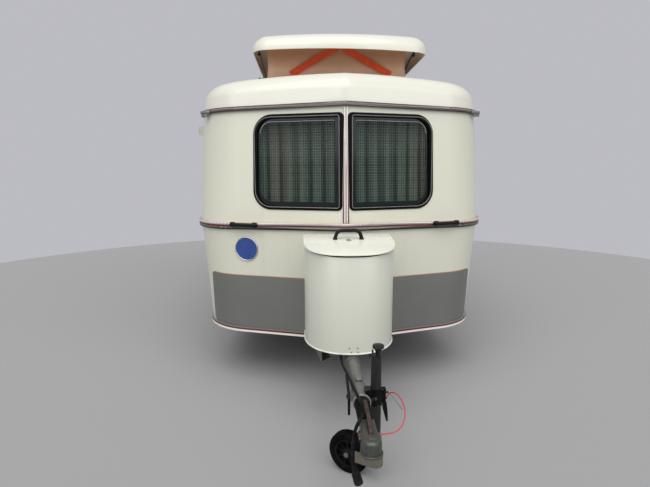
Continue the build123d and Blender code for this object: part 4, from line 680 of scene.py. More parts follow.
def pane_loop(pane, inset, proud):
    """Points round a window, this far inside its seal's edge and proud of the wall."""
    _, wall, side, x0, x1, y0, y1, r0, r1 = pane
    origin, along, up, out = wall_frame(wall, side)
    loop = []
    for x, y, r, start in ((x1, y1, r1, 0), (x0, y1, r0, 1), (x0, y0, r0, 2), (x1, y0, r1, 3)):
        r = max(r - inset, LEAST_CORNER)
        cx = x - (inset + r) if x == x1 else x + inset + r
        cy = y - (inset + r) if y == y1 else y + inset + r
        for i in range(CORNER_STEPS + 1):
            turn = (start + i / CORNER_STEPS) * pi / 2
            loop.append(origin + along * (cx + r * cos(turn)) + up * (cy + r * sin(turn)) + out * proud)
    return loop


def bead(name, loops, radius, body, finish, slot, *hidden, closed=True):
    """Round beads along lines of points."""
    line = bpy.data.curves.new(name, "CURVE")
    line.dimensions, line.bevel_depth, line.bevel_resolution = "3D", radius, 2
    for loop in loops:
        spline = line.splines.new("POLY")
        spline.points.add(len(loop) - 1)
        for point, at in zip(spline.points, loop):
            point.co = (*at, 1)
        spline.use_cyclic_u = closed
    return dressed(name, line, body, finish, slot, *hidden)


PANE_SUNK, SEAL_PROUD, FILLER_IN, FILLER_R = 0.012, 0.005, 0.0165, 0.0022
RIM_IN, RIM_R, RIM_ARC = 0.050, 0.0026, 2 * (CORNER_STEPS + 1)   # the rim shows over the top corners
BORDER_FROM, BORDER_TO, BORDER_LIFT, BORDER_T = 0.020, 0.044, 0.006, 0.0008
for body, panes in (("trailer", PANES[:-1]), ("door", PANES[-1:])):
    bead(f"filler_strips_{body}", [pane_loop(pane, FILLER_IN, SEAL_PROUD) for pane in panes], FILLER_R,
         body, filler_metal, "rail")
    tops, borders = [], bmesh.new()
    for pane in panes:
        lift = wall_frame(pane[1], pane[2])[2] * BORDER_LIFT
        inner = [at + lift for at in pane_loop(pane, BORDER_TO, -PANE_SUNK)]
        outer = pane_loop(pane, BORDER_FROM, -PANE_SUNK)
        tops.append([at + lift for at in pane_loop(pane, RIM_IN, -PANE_SUNK)[:RIM_ARC]])
        rows = [[borders.verts.new(at) for at in loop] for loop in (outer, inner)]
        edges = [borders.edges.new((row[i - 1], row[i])) for row in rows for i in range(len(row))]
        bmesh.ops.bridge_loops(borders, edges=edges)
    bmesh.ops.recalc_face_normals(borders, faces=borders.faces)
    bmesh.ops.solidify(borders, geom=borders.faces[:], thickness=BORDER_T)
    fit(f"pane_borders_{body}", borders, body, pane_border, "glass", crease=60)
    bead(f"pane_rims_{body}", tops, RIM_R, body, pane_rim_highlight, "glass", closed=False)

# ------------------------ curtains
# Closed curtains of thin woven plaid, dark green with olive and brown bands, gathered a little on
# a wire behind each pane. Their fold crests carry a painted highlight, and their hollows and top a
# painted shade.
CURTAIN_DEPTH, CURTAIN_LAP = 0.043, 0.012
FOLDS = ((0.0050, 0.092, 0.3), (0.0022, 0.041, 1.1))   # depth, width, phase of the folds
FOLD_REACH, TOP_FLATTER, FOLD_LEAN = 0.0072, 0.35, 0.5
CLOTH_START = (0.13, 0.24)         # where the left and right curtains start in the pattern's repeat
CURTAIN_COLUMNS_PER_M, CURTAIN_ROWS = 160, 14
GREEN, OLIVE, BROWN = (0.055, 0.125, 0.085), (0.17, 0.22, 0.14), (0.25, 0.155, 0.095)
PALE_LINE, DARK_LINE = (0.62, 0.80, 0.68), (0.015, 0.035, 0.025)
# painted shade in the hollows of the folds, painted highlight on their crests, painted shade along the
# top
HOLLOW_SHADE, CREST_HIGHLIGHT, TOP_SHADE = (0.012, 0.025, 0.018), (0.50, 0.64, 0.54), (0.012, 0.022, 0.016)
BAND_PITCH, BROWN_W, OLIVE_W, THREADS = 0.62, 0.13, 0.09, 2600

plaid = Finish("curtain_plaid", GREEN, 0.85, sheen_weight=0.25)
uv = plaid.add("UVMap", {"uv_map": "cloth"})
across = plaid.add("SeparateXYZ", {}, {"Vector": uv}, out="X")
down = plaid.add("SeparateXYZ", {}, {"Vector": uv}, out="Y")


def stripes(value, pitch, width, start=0.0):
    """1 within thin lines this far apart, as a woven stripe."""
    return plaid.maths("LESS_THAN", plaid.maths("FRACT", (value + start) / pitch), width / pitch)


weave = plaid.maths("SINE", across * THREADS) * plaid.maths("SINE", down * THREADS)
crest = plaid.add("Attribute", {"attribute_name": "crest"}, out="Fac")
slub = plaid.noise(60, 4)
light_lines = plaid.maths("MAXIMUM", stripes(across, 0.0150, 0.0050), stripes(down, 0.0165, 0.0050))
dark_lines = plaid.maths("MAXIMUM", stripes(across, 0.0450, 0.0060, 0.008),
                         stripes(down, 0.0495, 0.0060, 0.011))
ground = plaid.mix(stripes(across, BAND_PITCH, BROWN_W),
                   plaid.mix(stripes(across, BAND_PITCH, OLIVE_W, OLIVE_W), GREEN, OLIVE), BROWN)
checked = plaid.mix(light_lines * (slub * 0.7 + 0.30), ground, PALE_LINE)
lined = plaid.mix(dark_lines * 0.45, checked, DARK_LINE)
# painted shade in the hollows, painted highlight on the crests and painted shade towards the top
shaded_hollows = plaid.mix(crest.fade(0.50, 0.15) * 0.80, lined, HOLLOW_SHADE)
folded = plaid.mix(crest.fade(0.60, 0.92) * 0.45, shaded_hollows, CREST_HIGHLIGHT)
plaid.give(base_color=plaid.mix(down.fade(0.40, 0.60) * 0.65, folded, TOP_SHADE),
           normal=plaid.bump(weave, 0.00005), roughness=slub * 0.1 + 0.8)


def fold_depth(x, phase):
    """How far the cloth stands out at this place across a curtain."""
    return sum(depth * sin(2 * pi * x / width + start + phase) for depth, width, start in FOLDS)


for number, pane in enumerate(PANES[:-1]):
    name, wall, side, x0, x1, y0, y1, _, _ = pane
    origin, along, up, out = wall_frame(wall, side)
    wide, tall = x1 - x0 + 2 * CURTAIN_LAP, y1 - y0 + 2 * CURTAIN_LAP
    columns = round(wide * CURTAIN_COLUMNS_PER_M)
    cloth = bmesh.new()
    bmesh.ops.create_grid(cloth, x_segments=columns, y_segments=CURTAIN_ROWS, size=0.5, calc_uvs=True)
    run, places, last = 0.0, [], None
    for i in range(columns + 1):
        x = wide * i / columns
        here = Vector((x, fold_depth(x, number)))
        run += (here - last).length if last else 0
        last = here
        places.append(run)
    layer = cloth.loops.layers.uv.active or cloth.loops.layers.uv.new()
    crest_layer = cloth.verts.layers.float.new("crest")
    for face in cloth.faces:
        for loop in face.loops:
            u, v = loop.vert.co.x + 0.5, loop.vert.co.y + 0.5
            loop[layer].uv = (places[round(u * columns)] + CLOTH_START[number % 2], v * tall)
    for vert in cloth.verts:
        u, v = vert.co.x + 0.5, vert.co.y + 0.5
        lean = FOLD_LEAN * sin(2.2 * v + number)
        depth = fold_depth(u * wide, number + lean) * (1 - TOP_FLATTER * v)
        vert[crest_layer] = 0.5 + depth / (2 * FOLD_REACH)
        vert.co = (origin + along * (x0 - CURTAIN_LAP + u * wide) + up * (y0 - CURTAIN_LAP + v * tall)
                   + out * (depth - CURTAIN_DEPTH))
    hidden = ("curtains",) if number == 0 else ()
    drape = fit(f"curtain_{name}", cloth, "trailer", plaid, "fabric", *hidden, crease=180)
    drape.data.uv_layers[0].name = "cloth"

# ------------------------ roof
# A moulded glass-fibre shell in white gel coat with a softly chalked shine, weathered along the
# edges, and a folded aluminium coaming round the hatch.
GEL_WHITE, GEL_CHALKED, MILDEW = (0.81, 0.795, 0.695), (0.775, 0.765, 0.67), (0.33, 0.32, 0.26)
gel_coat = Finish("gel_coat", GEL_WHITE, 0.25, coat_weight=0.3, coat_roughness=0.1)
chalk = gel_coat.noise(2.4, 5)
mildew = gel_coat.noise(30, 6).fade(0.66, 0.86)
chalked = gel_coat.mix(chalk, GEL_WHITE, GEL_CHALKED)
gel_coat.give(base_color=gel_coat.mix(mildew * 0.35, chalked, MILDEW),
              roughness=chalk * 0.2 + mildew * 0.2 + 0.14,
              normal=gel_coat.bump(gel_coat.noise(3.5, 2), 0.0015))
ROOF_SQUASH, EDGE_TALL = 0.088, 0.15


def roof_line(at):
    """The front of the roof is flatter in its crown, and its edge follows the gutter."""
    height = at.z - GUTTER_Z
    lower = height * ROOF_SQUASH * share(at.y, front(0.92), front(0.50))
    return at + Vector((0, 0, gutter_lift(at) * max(0, 1 - height / EDGE_TALL) - lower))


reshaped("roof_skin", "roof_shell", "trailer", gel_coat, "roof_shell", roof_line, crease=40)
galvanised("coaming_metal", (0.42, 0.42, 0.41), 0.02).on("hatch_coaming")

# ------------------------ pop-up roof
# The moulded lid stands on crossed flat steel arms, painted dark, which run in tracks on the roof
# and under the lid. Between lid and roof hangs a wall of coated cotton in tan, welted at its foot
# and held by two orange webbing straps.
CANVAS_HALF, CANVAS_FRONT, CANVAS_REAR = 0.530, front(0.872), front(2.510)
CANVAS_LOW, CANVAS_HIGH, CANVAS_CORNER = 2.082, 2.340, 0.055
CANVAS_OUTLINE = (CANVAS_HALF, CANVAS_FRONT, CANVAS_REAR, CANVAS_CORNER)
CANVAS_COLUMNS, CANVAS_ROWS, PLEAT, SAG = 560, 10, 0.007, 0.009
# COTTON_SHADED is the painted shade of the lid on the top of the canvas
COTTON, COTTON_FADED, COTTON_SHADED = (0.86, 0.53, 0.38), (0.74, 0.45, 0.32), (0.53, 0.255, 0.135)
DAMP_STAIN, COTTON_THREADS = (0.13, 0.08, 0.06), 3600

cotton = Finish("coated_cotton", COTTON, 0.8, sheen_weight=0.15)
fade_out = cotton.noise(3.5, 5)
low_stain = cotton.along("Z").fade(2.16, 2.07) * cotton.noise(17, 5)
thread = (cotton.maths("SINE", (cotton.along("X") + cotton.along("Y")) * COTTON_THREADS)
          + cotton.maths("SINE", cotton.along("Z") * COTTON_THREADS))
# darker and browner towards the top: painted shade under the lid
height = cotton.along("Z").fade(2.16, 2.27)
tan_cloth = cotton.mix(height, cotton.mix(fade_out, COTTON, COTTON_FADED), COTTON_SHADED)
cotton.give(base_color=cotton.mix(low_stain * 0.6, tan_cloth, DAMP_STAIN),
            roughness=fade_out * 0.15 + 0.72, normal=cotton.bump(thread, 0.00025))


def wall_run(distance, half, front_y, rear_y, corner):
    """Place and outward way on a rounded rectangle's outline, from the middle of its front."""
    half_front, side_length, arc = half - corner, rear_y - front_y - 2 * corner, pi / 2 * corner
    legs = (half_front, arc, side_length, arc, 2 * half_front, arc, side_length, arc, half_front)
    at, way = Vector((0, front_y, 0)), Vector((1, 0, 0))
    for number, length in enumerate(legs):
        step = min(distance, length)
        if number % 2:
            turn, side = Matrix.Rotation(step / corner, 3, "Z"), Vector((-way.y, way.x, 0))
            at = at + side * corner + turn @ (-side * corner)
            way = turn @ way
        else:
            at = at + way * step
        distance -= step
        if distance <= 0:
            break
    return at, Vector((way.y, -way.x, 0))


def outline_length(half, front_y, rear_y, corner):
    """The way round that outline."""
    return 4 * (half - corner) + 2 * (rear_y - front_y - 2 * corner) + 2 * pi * corner


canvas = bmesh.new()
bmesh.ops.create_grid(canvas, x_segments=CANVAS_COLUMNS, y_segments=CANVAS_ROWS, size=0.5)
around = outline_length(*CANVAS_OUTLINE)
for vert in canvas.verts:
    u, v = (vert.co.x + 0.5) % 1.0, vert.co.y + 0.5
    at, out = wall_run(u * around, *CANVAS_OUTLINE)
    sag, lap = sin(pi * v), 2 * pi * u
    pleat = (0.55 * sin(23 * lap + 1.1 * sin(5 * lap)) + 0.30 * sin(61 * lap + 2 * v)
             + 0.25 * sin(9 * lap + 4 * v))
    inwards = SAG * sag + PLEAT * (1 + pleat) / 2 * (0.35 + 0.65 * sag)
    vert.co = at - out * inwards + Vector((0, 0, CANVAS_LOW + v * (CANVAS_HIGH - CANVAS_LOW)))
bmesh.ops.remove_doubles(canvas, verts=canvas.verts, dist=1e-5)
canvas_wall = fit("canvas_wall", canvas, "trailer", cotton, "canvas", "pop_top_canvas", crease=180)
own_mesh(canvas_wall)


def loft(rows, *caps):
    """Extrudes a closed row of points through the others, and fills the rows numbered in caps."""
    shape = bmesh.new()
    ring = {shape.verts.new(at): i for i, at in enumerate(rows[0])}
    verts = list(ring)
    edges = [shape.edges.new((verts[i - 1], verts[i])) for i in range(len(verts))]
    ends = {0: edges}
    for number, row in enumerate(rows[1:], 1):
        made = bmesh.ops.extrude_edge_only(shape, edges=edges)["geom"]
        fresh = {}
        for vert in (item for item in made if isinstance(item, bmesh.types.BMVert)):
            fresh[vert] = next(ring[edge.other_vert(vert)] for edge in vert.link_edges
                               if edge.other_vert(vert) in ring)
            vert.co = row[fresh[vert]]
        edges = [item for item in made if isinstance(item, bmesh.types.BMEdge)
                 and item.verts[0] in fresh and item.verts[1] in fresh]
        ring, ends[number] = fresh, edges
    for number in caps:
        bmesh.ops.holes_fill(shape, edges=ends[number], sides=0)
    bmesh.ops.recalc_face_normals(shape, faces=shape.faces)
    return shape


# the lid: a moulded shell with a bowed front and deep rounded shoulders
LID_HALF, LID_FRONT, LID_REAR, LID_CORNER = 0.640, front(0.750), front(2.760), 0.09
LID_OUTLINE = (LID_HALF, LID_FRONT, LID_REAR, LID_CORNER)
LID_X, LID_MIDDLE = 0.016, (LID_FRONT + LID_REAR) / 2
LID_STEPS, LID_BOW, BOW_REACH = 160, 0.110, 0.45
LIP_Z, LIP_TOP, LIP_RISE, LIP_ROLL, RISE_FROM, RISE_TO = 2.2375, 2.30, 0.018, 0.006, 0.9, 0.1
LID_SECTION = [  # inwards of the outline, height: ceiling, down the inside, round the lip, over the top
    (0.40, 2.372), (0.25, 2.372), (0.10, 2.362), (0.045, 2.338), (0.018, 2.300), (0.010, 2.268),
    (0.009, 2.2395), (0.006, LIP_Z), (0.003, LIP_Z), (0, 2.2400), (0, 2.270), (0.003, 2.293),
    (0.010, 2.314), (0.022, 2.333), (0.040, 2.350), (0.063, 2.3645), (0.092, 2.3765), (0.13, 2.3865),
    (0.19, 2.3945), (0.28, 2.3995), (0.40, 2.4020),
]
lid_round = outline_length(*LID_OUTLINE)
rows = []
for inwards, z in LID_SECTION:
    row, near = [], min(inwards, LID_CORNER - 0.03)
    narrower, shorter = (1 - (inwards - near) / (half - near)
                         for half in (LID_HALF, (LID_REAR - LID_FRONT) / 2))
    for i in range(LID_STEPS):
        at, out = wall_run(lid_round * i / LID_STEPS, *LID_OUTLINE)
        bow = LID_BOW * (1 - (at.x / LID_HALF) ** 2) * share(at.y, LID_FRONT + BOW_REACH, LID_FRONT)
        rise = ((LIP_RISE - LIP_ROLL * at.x / LID_HALF) * share(z, LIP_TOP, LIP_Z)
                * share(at.y, LID_FRONT + RISE_FROM, LID_FRONT + RISE_TO))
        at = at - out * near - Vector((0, bow, 0))
        y = LID_MIDDLE + (at.y - LID_MIDDLE) * shorter
        row.append(Vector((LID_X + at.x * narrower, y, z + rise)))
    rows.append(row)
fit("lid_shell", loft(rows, 0, len(rows) - 1), "pop_roof", gel_coat, "roof_shell", "pop_top", crease=40)

WELT_R, WELT_STEPS, WELT_OUT, WELT_UP = 0.006, 120, 0.002, 0.012
welt_loop = []
for i in range(WELT_STEPS):
    at, out = wall_run(around * i / WELT_STEPS, *CANVAS_OUTLINE)
    welt_loop.append(at + out * WELT_OUT + Vector((0, 0, CANVAS_LOW + WELT_UP)))
bead("canvas_welt", [welt_loop], WELT_R, "trailer", seal_rubber, "rubber")

webbing = aged("orange_webbing", (0.92, 0.090, 0.012), (0.62, 0.060, 0.012), (40, 4), (0.2, 0.6),
               sheen_weight=0.2)
rib = webbing.maths("SINE", (webbing.along("X") + webbing.along("Z")) * THREADS)
webbing.give(normal=webbing.bump(rib, 0.0004))
STRAPS = {  # lower end x, z, upper end x, z
    "left": (-0.346, 2.120, 0.004, 2.314), "right": (0.398, 2.120, 0.046, 2.314),
}
STRAP_W, STRAP_T, STRAP_Y, STRAP_PARTS = 0.050, 0.002, CANVAS_FRONT - 0.0022, 24
for side, (x0, z0, x1, z1) in STRAPS.items():
    strap = bmesh.new()
    bmesh.ops.create_grid(strap, x_segments=STRAP_PARTS, y_segments=2, size=0.5)
    run = Vector((x1 - x0, 0, z1 - z0))
    across_strap = Vector((-run.z, 0, run.x)).normalized()
    for vert in strap.verts:
        u, v = vert.co.x + 0.5, vert.co.y
        wave = 0.0006 * sin(9 * u) + 0.0005 * sin(31 * u + 3 * v)
        vert.co = (Vector((x0, STRAP_Y + wave, z0)) + run * u
                   + across_strap * (v * STRAP_W + 0.004 * sin(2.4 * u)))
    bmesh.ops.recalc_face_normals(strap, faces=strap.faces)
    bmesh.ops.solidify(strap, geom=strap.faces[:], thickness=STRAP_T)
    hidden = ("canvas_straps",) if side == "left" else ()
    band = fit(f"strap_{side}", strap, "trailer", webbing, "strap", *hidden)
    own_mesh(band)

ARM_BLACK, ARM_CHIP = (0.010, 0.009, 0.009), (0.10, 0.085, 0.075)
arm_paint = Finish("arm_paint", ARM_BLACK, 0.45, specular_ior_level=0.3)
arm_chips = arm_paint.noise(55, 6).fade(0.60, 0.66)
arm_paint.give(base_color=arm_paint.mix(arm_chips, ARM_BLACK, ARM_CHIP),
               metallic=arm_chips * 0.6, roughness=arm_paint.noise(18, 3) * 0.25 + 0.32)
arm_paint.on("lift_arms_a", "lift_arms_b")
ARM_LOW_Z, ARM_HIGH_Z, ARM_FRONT = 2.098, 2.274, front(0.930)
PIVOTS, RUNNERS = (ARM_FRONT - 0.02, ARM_FRONT + 0.02), (ARM_FRONT + 0.72, ARM_FRONT + 0.93)
TRACKS = [  # name, body, middle x, middle z, from y and to y, leg's other end z
    ("pivots_low", "trailer", 0.549, ARM_LOW_Z, PIVOTS, 2.035),
    ("runners_low", "trailer", 0.584, ARM_LOW_Z, RUNNERS, 2.045),
    ("pivots_high", "pop_roof", 0.584, ARM_HIGH_Z, PIVOTS, 2.330),
    ("runners_high", "pop_roof", 0.549, ARM_HIGH_Z, RUNNERS, 2.345),
]
TRACK_W, TRACK_H, TRACK_LEG, LEG_IN = 0.010, 0.022, 0.030, 0.02
KNOB_STEPS = ((0.0115, 0.010, 0.5815), (0.0075, 0.016, 0.5860))  # radius, depth, middle x
for name, body, x, z, (y0, y1), leg_z in TRACKS:
    track = bmesh.new()
    for s in (-1, 1):
        blocks = [((y0 + y1) / 2, y1 - y0, z, TRACK_H)]
        blocks += [(y, min(TRACK_LEG, y1 - y0), (z + leg_z) / 2, abs(leg_z - z))
                   for y in {y0 + LEG_IN, y1 - LEG_IN}]
        for y, long, mid_z, tall in blocks:
            bmesh.ops.create_cube(track, size=1, matrix=Matrix.Translation((s * x, y, mid_z))
                                  @ Matrix.Diagonal((TRACK_W, long, tall, 1)))
    ease(track, track.edges[:], 0.0015)
    fit(f"arm_{name}", track, body, arm_paint, "dark_steel")

for body, z in (("trailer", ARM_LOW_Z), ("pop_roof", ARM_HIGH_Z)):
    knobs = bmesh.new()
    for s in (-1, 1):
        for radius, depth, out in KNOB_STEPS:
            peg(knobs, 24, radius, radius * 0.9, depth,
                Matrix.Translation((s * out, ARM_FRONT, z)) @ Matrix.Rotation(s * pi / 2, 4, "Y"))
    fit(f"arm_knobs_{body}", knobs, body, cast_black, "black_plastic")

# ------------------------ gas locker
# A box of enamelled steel sheet on the drawbar, open under a hinged lid that slopes to the front.
# Its bottom edge is a rolled white bead with rivets over it. A black strap handle and a small round
# lock are screwed to the lid, which closes on a rubber seal.
LOCKER_STRAIGHT, LOCKER_NOSE, LOCKER_REAR = front(-0.150), front(-0.444), front(-0.032)
LOCKER_HALF, LOCKER_LOW, NOSE_STEPS, NOSE_POWER = 0.254, 0.450, 48, 2.15
LID_NOSE, LID_POWER, BOX_TOP = front(-0.437), 2.7, 0.4
LID_SLOPE, LID_BACK_Z, LID_BACK = atan(0.0505 / 0.422), 1.046, front(-0.024)
LOCKER_SHEET, LID_LIP, LID_OVER, BACK_GAP = 0.0015, 0.010, 0.005, -0.02
# the box's enamel is darker than the walls' as painted shade, and the lid's is lighter as painted light
# on its upturned top
SHADED_LOCKER_ENAMEL, LOCKER_ENAMEL_LOW = (0.635, 0.645, 0.555), (0.60, 0.61, 0.525)
LIT_LID_ENAMEL, BEAD_WHITE, BEAD_DIRT = (0.87, 0.88, 0.77), (0.82, 0.81, 0.76), (0.25, 0.20, 0.15)


def lid_top(y):
    """The height of the lid's sloping top."""
    return LID_BACK_Z - (LID_BACK - y) * tan(LID_SLOPE)


def below_lid(drop):
    """Heights this far below the lid's top."""
    return lambda y: lid_top(y) - drop


def locker_line(grow, height, top=0, closed=True):
    """Points round the locker in plan: straight sides that curve into a nose, which is bowed at the
    bottom of the box (top=0) and flattest at its lid (top=1)."""
    half = LOCKER_HALF + grow
    deep = LOCKER_STRAIGHT - LOCKER_NOSE + top * (LOCKER_NOSE - LID_NOSE) + grow
    power = NOSE_POWER + top * (LID_POWER - NOSE_POWER)
    points = []
    for i in range(NOSE_STEPS + 1):
        turn = pi * i / NOSE_STEPS
        x, y = cos(turn), sin(turn)
        x = (abs(x) ** (2 / power)) * (1 if x > 0 else -1)
        points.append((-half * x, LOCKER_STRAIGHT - deep * abs(y) ** (2 / power)))
    ends = LOCKER_REAR + (grow if closed else BACK_GAP)
    points = [(-half, ends)] + points + [(half, ends)]
    return [Vector((x, y, height(y) if callable(height) else height)) for x, y in points]


# painted shade: the box's enamel is darker than the lid's and the walls'
shaded_locker_enamel = enamel("shaded_locker_enamel", SHADED_LOCKER_ENAMEL, LOCKER_ENAMEL_LOW, 0.30)
locker_box = loft([locker_line(0, LOCKER_LOW), locker_line(0, below_lid(LID_LIP + 0.002), BOX_TOP),
                   locker_line(-0.004, below_lid(LID_LIP - 0.004), BOX_TOP)], 0)
bmesh.ops.solidify(locker_box, geom=locker_box.faces[:], thickness=LOCKER_SHEET)
fit("locker_box", locker_box, "trailer", shaded_locker_enamel, "body_paint", "gas_locker")
# painted light: the lid's enamel is lighter than the box's
lit_lid_enamel = enamel("lit_lid_enamel", LIT_LID_ENAMEL, LIT_LID_ENAMEL, 0.26)
LID_ROWS = (  # in from the lid's edge, below its top
    (0.0015, LID_LIP), (0, LID_LIP - 0.001), (0, 0.003), (0.001, 0.001), (0.004, 0),
)
rows = [locker_line(LID_OVER - inwards, below_lid(drop), 1) for inwards, drop in LID_ROWS]
locker_lid = loft(rows, 0, len(rows) - 1)
fit("locker_lid_shell", locker_lid, "locker_lid", lit_lid_enamel, "body_paint", "gas_locker_lid")

bead_enamel = Finish("locker_white", BEAD_WHITE, 0.32)
bead_enamel.give(base_color=bead_enamel.mix(bead_enamel.noise(30, 5).fade(0.5, 0.85) * 0.5, BEAD_WHITE,
                                            BEAD_DIRT))
bottom_line = locker_line(0.001, LOCKER_LOW + 0.003, closed=False)
seal_line = locker_line(0.0015, below_lid(LID_LIP + 0.0035), BOX_TOP, closed=False)
bead("locker_bead", [bottom_line], 0.0042, "trailer", bead_enamel, "body_paint", closed=False)
bead("locker_lid_seal", [seal_line], 0.0032, "trailer", seal_rubber, "rubber", closed=False)

# the lid's handle: a round strap that stands on two splayed feet
FOOT_X, FOOT_R, FOOT_TIP, FOOT_TALL = 0.076, 0.015, 0.0115, 0.010
GRIP_HALF = ((0.036, 0.045), (0.055, 0.041), (0.066, 0.030), (0.073, 0.012), (FOOT_X, 0.000))  # x, z
GRIP_Y, STRAP_R = front(-0.151), 0.0105
grip_path = [(-x, z) for x, z in GRIP_HALF[::-1]] + list(GRIP_HALF)
bead("lid_grip", [[Vector((x, GRIP_Y, lid_top(GRIP_Y) + 0.006 + z)) for x, z in grip_path]], STRAP_R,
     "locker_lid", cast_black, "black_plastic", "locker_handle", closed=False)
lid_feet = bmesh.new()
for s in (-1, 1):
    peg(lid_feet, 24, FOOT_R, FOOT_TIP, FOOT_TALL,
        Matrix.Translation((s * FOOT_X, GRIP_Y, lid_top(GRIP_Y) + 0.004)))
fit("lid_grip_feet", lid_feet, "locker_lid", cast_black, "black_plastic")

RIVET_R, RIVET_PROUD = 0.0045, 0.0022
RIVETS = ((-0.017, 0.486), (0.027, 0.486), (-0.008, 0.463), (0.030, 0.463))   # x, z


def rivets(name, places, body, finish, slot):
    """Low round rivet heads, each at a point on a surface that faces a given way."""
    heads = bmesh.new()
    for at, out in places:
        bmesh.ops.create_uvsphere(heads, u_segments=12, v_segments=6, radius=1, matrix=towards(at, out)
                                  @ Matrix.Diagonal((RIVET_R, RIVET_R, RIVET_PROUD, 1)))
    return fit(name, heads, body, finish, slot, crease=60)


def on_nose(x, z):
    """A point on the box's nose, near its middle."""
    return Vector((x, LOCKER_NOSE + 0.30 * abs(x) ** NOSE_POWER + 0.01 * (z - LOCKER_LOW), z))


rivet_metal = galvanised("rivet_metal", (0.22, 0.21, 0.20), 0.12)
rivets("locker_rivets", [(on_nose(x, z), (x, -1, 0)) for x, z in RIVETS], "trailer", rivet_metal,
       "steel")
LOCK_Y = front(-0.178)
LOCK_SECTION = [  # height over the lid, radius
    (-0.002, 0), (-0.002, 0.014), (0.004, 0.014), (0.006, 0.012), (0.006, 0.006), (0.0045, 0.0055),
    (0.0045, 0),
]
lid_up = (0, -sin(LID_SLOPE), cos(LID_SLOPE))
lid_lock = turned(LOCK_SECTION, (0, LOCK_Y, lid_top(LOCK_Y)), lid_up, 24)
fit("lid_lock", lid_lock, "locker_lid", filler_metal, "rail")

# ------------------------ small fittings
# Rubber-covered grab handles bolted over the belt rail at each corner, a plain blue enamel disc in
# a polished ring, a band round the gaiter, rear lamps with ribbed lenses and a white plate holder.
GRIP_FROM, GRIP_TO, GRIP_R, GRIP_OUT, GRIP_END = 0.578, 0.758, 0.0125, 0.022, 0.01
MOUNT_L, MOUNT_R, MOUNT_OUT = 0.030, 0.017, 0.014
GRIP_SHIFT = {("front", 1): 0.024}   # this one sits further out
GRIP_PARTS = (  # middle along the handle, length, radius, distance from the rail
    ((GRIP_FROM + GRIP_TO) / 2, GRIP_TO - GRIP_FROM - 2 * GRIP_END, GRIP_R, GRIP_OUT),
    (GRIP_FROM + MOUNT_L / 2, MOUNT_L, MOUNT_R, MOUNT_OUT),
    (GRIP_TO - MOUNT_L / 2, MOUNT_L, MOUNT_R, MOUNT_OUT),
)
grips = bmesh.new()
for wall, way, proud in (("front", 1, FRONT - 0.0015), ("rear", -1, STERN + 0.001)):
    slope = WALL_FRAMES[wall][2]
    for side in (-1, 1):
        along = Vector((side * cos(slope), way * sin(slope), 0))
        out = Vector((side * sin(slope), -way * cos(slope), 0))
        turn = Matrix((along, out, along.cross(out))).transposed().to_4x4()
        start = Vector((0, proud, BELT_Z)) + along * GRIP_SHIFT.get((wall, side), 0)
        for middle, length, radius, deep in GRIP_PARTS:
            bar = peg(grips, 20, radius, radius, length,
                      Matrix.Translation(start + along * middle + out * deep) @ turn
                      @ Matrix.Rotation(pi / 2, 4, "Y"))
            caps = [e for e in grips.edges if e.verts[0] in bar["verts"] and e.calc_face_angle(0) > 1]
            ease(grips, caps, 0.005, 3)
fit("grab_grips", grips, "trailer", cast_black, "black_plastic", "grab_handles")

aged("enamel_blue", (0.012, 0.042, 0.24), (0.025, 0.080, 0.34), (25, 5), (0.15, 0.1),
     coat_weight=0.6).on("round_badge")
polished = Finish("polished_ring", (0.62, 0.62, 0.61), 0.18, metallic=1.0)
polished.give(roughness=polished.noise(40, 4) * 0.2 + 0.1)


def ring(name, centre, line, radius, wire, body, finish, slot):
    """A ring of round wire about a line."""
    shape = bmesh.new()
    bmesh.ops.create_circle(shape, segments=12, radius=wire, matrix=Matrix.Translation((radius, 0, 0))
                            @ Matrix.Rotation(pi / 2, 4, "X"))
    spun(shape, (0, 0, 1), 64)
    bmesh.ops.transform(shape, verts=shape.verts, matrix=towards(centre, line))
    return fit(name, shape, body, finish, slot)


BADGE_R, RING_WIRE, RING_PROUD = 0.076, 0.0035, 0.003
BAND_AT, BAND_R = (0, front(-0.889), 0.404), 0.0385
badge_low, badge_high = (Vector(corner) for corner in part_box("round_badge"))
badge_out = Vector()
for face in nodes["round_badge"].data.polygons:
    if face.normal.y < -0.5:
        badge_out += face.normal * face.area
badge_out.normalize()
ring("badge_ring", (badge_low + badge_high) / 2 + badge_out * RING_PROUD, badge_out, BADGE_R, RING_WIRE,
     "trailer", polished, "rail")
ring("gaiter_band", BAND_AT, (0, 1, 0), BAND_R, RING_WIRE, "trailer", filler_metal, "rail")

LENS_RED, LENS_AMBER, AMBER_X, LENS_RIBS = (0.34, 0.008, 0.010), (0.55, 0.16, 0.01), 0.585, 1200
lens = Finish("lens_red", LENS_RED, 0.12, coat_weight=0.5)
lens.give(base_color=lens.mix(lens.along("X").size().above(AMBER_X), LENS_RED, LENS_AMBER),
          normal=lens.bump(lens.maths("SINE", lens.along("Z") * LENS_RIBS), 0.0008),
          roughness=lens.noise(30, 3) * 0.1 + 0.08)
lens.on("tail_lamps")
plate = Finish("plate_white", (0.74, 0.74, 0.71), 0.3)
plate.give(base_color=plate.mix(plate.noise(14, 5), (0.76, 0.76, 0.73), (0.66, 0.65, 0.60)),
           roughness=plate.noise(60, 3) * 0.15 + 0.25)
plate.on("plate_panel")

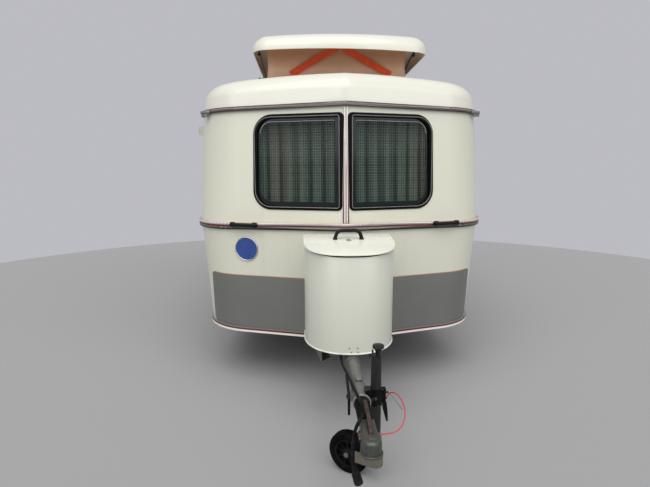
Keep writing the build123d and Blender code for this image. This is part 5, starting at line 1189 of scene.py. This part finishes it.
# ------------------------ studio
# A plain pale floor and backdrop under soft overhead and frontal light. The camera, reflections
# and glass see a pale lilac grey; the light itself stays neutral.
FLOOR_R, FLOOR_GREY, BACKDROP = 6.0, (0.36, 0.36, 0.365), (0.50, 0.50, 0.54)
AMBIENT, AMBIENT_STRENGTH = (1.0, 1.0, 1.0), 0.30
SUNS = ((25, -10, 60, 1.62), (58, -35, 50, 0.84), (58, 40, 50, 0.84))   # tilt, turn, width, strength
floor_mesh = bmesh.new()
bmesh.ops.create_circle(floor_mesh, cap_ends=True, segments=128, radius=FLOOR_R)
studio_floor = bpy.data.objects.new("studio_floor", bpy.data.meshes.new("studio_floor"))
floor_mesh.to_mesh(studio_floor.data)
floor_mesh.free()
bpy.context.scene.collection.objects.link(studio_floor)
Finish("floor_paint", FLOOR_GREY, 0.9).on(studio_floor)

world = bpy.data.worlds.new("studio")
world.use_nodes = True
bpy.context.scene.world = world
tree = world.node_tree
ambient, output = tree.nodes["Background"], tree.nodes["World Output"]
seen, rays, choose = (tree.nodes.new("ShaderNode" + kind)
                      for kind in ("Background", "LightPath", "MixShader"))
for shade, colour, strength in ((ambient, AMBIENT, AMBIENT_STRENGTH), (seen, BACKDROP, 1.0)):
    shade.inputs["Color"].default_value = (*colour, 1)
    shade.inputs["Strength"].default_value = strength
seen_by = rays.outputs["Is Camera Ray"]
for ray in ("Is Glossy Ray", "Is Transmission Ray"):
    either = tree.nodes.new("ShaderNodeMath")
    either.operation = "MAXIMUM"
    tree.links.new(seen_by, either.inputs[0])
    tree.links.new(rays.outputs[ray], either.inputs[1])
    seen_by = either.outputs[0]
for source, socket in ((seen_by, choose.inputs["Fac"]), (ambient.outputs[0], choose.inputs[1]),
                       (seen.outputs[0], choose.inputs[2]),
                       (choose.outputs[0], output.inputs["Surface"])):
    tree.links.new(source, socket)

for number, (tilt, turn, width, strength) in enumerate(SUNS):
    light = bpy.data.lights.new(f"sun_{number}", "SUN")
    light.angle, light.energy = radians(width), strength
    sun = bpy.data.objects.new(f"sun_{number}", light)
    sun.rotation_euler = (radians(tilt), 0, radians(turn))
    bpy.context.scene.collection.objects.link(sun)
